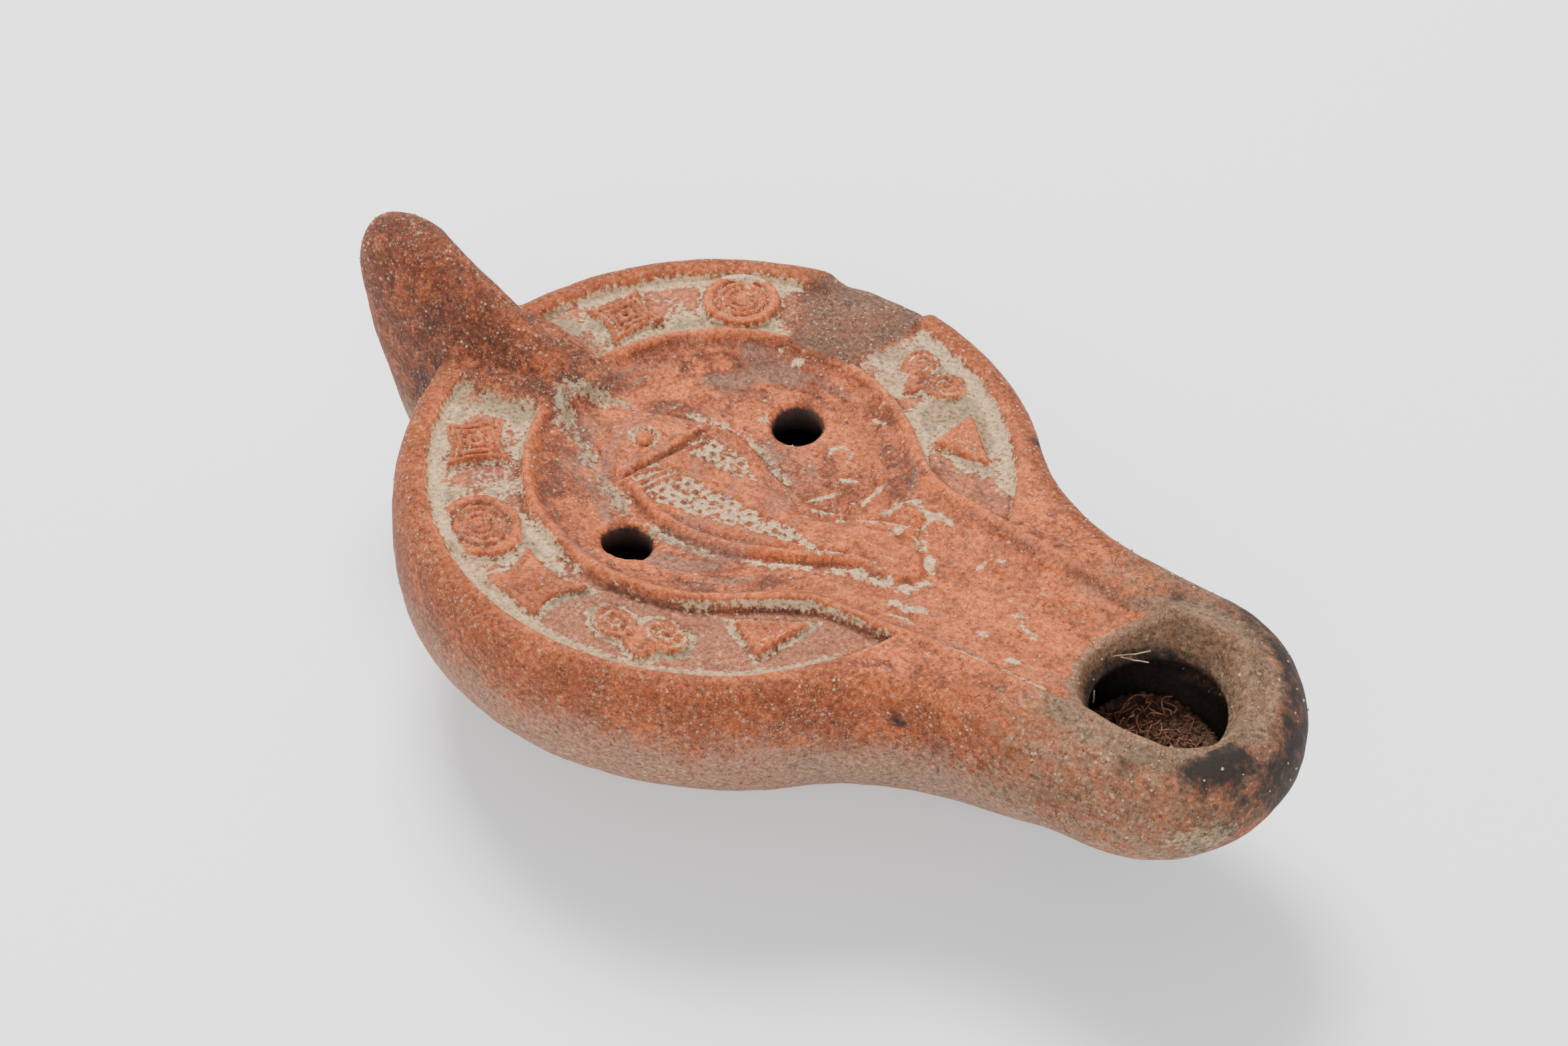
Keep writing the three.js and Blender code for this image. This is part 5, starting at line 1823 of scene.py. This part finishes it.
@dataclass(frozen=True)
class DirtFinish:
    """The dark colour, light colour and scale of mottling of each kind of dirt."""

    soil: tuple[Color, Color, float] = (rgba(0.045, 0.022, 0.014), rgba(0.17, 0.085, 0.05), 1.2)
    fibre: tuple[Color, Color, float] = (rgba(0.16, 0.055, 0.03), rgba(0.36, 0.17, 0.10), 0.6)
    root: tuple[Color, Color, float] = (rgba(0.30, 0.20, 0.13), rgba(0.62, 0.47, 0.32), 0.5)
    chalk: tuple[Color, Color, float] = (rgba(0.34, 0.24, 0.15), rgba(0.66, 0.50, 0.34), 0.8)


@dataclass
class OilLamp:
    """The lamp and everything that lies on or in it."""

    body: LampBody = field(default_factory=LampBody)
    soil: WickSoil = field(default_factory=WickSoil)
    finish: ClayFinish = ClayFinish()
    dirt: DirtFinish = DirtFinish()
    grain_density: float = 4.5e5
    grain_size: float = 0.5

    def build(self) -> None:
        """Makes every piece and hands it to the frame."""
        materials = ClayMaterials(self.finish)
        lamp = self.body.build()
        dress(lamp, materials.clay())
        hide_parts("oil_lamp")
        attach(lamp, "root")
        LOG.info("built %s", lamp.name)
        self.dressing(lamp, materials)

    def dressing(self, lamp: bpy.types.Object, materials: ClayMaterials) -> None:
        """Makes the soil, crumbs, fibres, root hairs and lime grains."""
        soil, dirt = self.soil, self.dirt
        earth = materials.plain("soil", *dirt.soil)
        fibre = materials.plain("fibre", *dirt.fibre)
        root = materials.plain("root", *dirt.root)
        chalk = materials.plain("lime grain", *dirt.chalk)
        grain = small_grain()
        mound = soil.mound()
        dress(mound, earth)
        pieces = [
            mound,
            strewn("soil_crumbs", mound, grain, earth, soil.crumbs, soil.crumb_size, 5, "strewn"),
            threads("soil_fibres", soil.fibre_lines(), soil.fibre_r, fibre),
            threads("root_hairs", soil.hair_lines(), soil.hair_r, root),
            strewn("lime_grains", lamp, grain, chalk, self.grain_density, self.grain_size, 9, "grit"),
        ]
        bpy.data.objects.remove(grain)
        for piece in pieces:
            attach(piece, "root")
            LOG.info("built %s", piece.name)


def main() -> None:
    """Builds the lamp and its studio in the shared frame."""
    logging.basicConfig(level=logging.INFO)
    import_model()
    OilLamp().build()
    Studio().build()


if __name__ == "__main__":
    main()
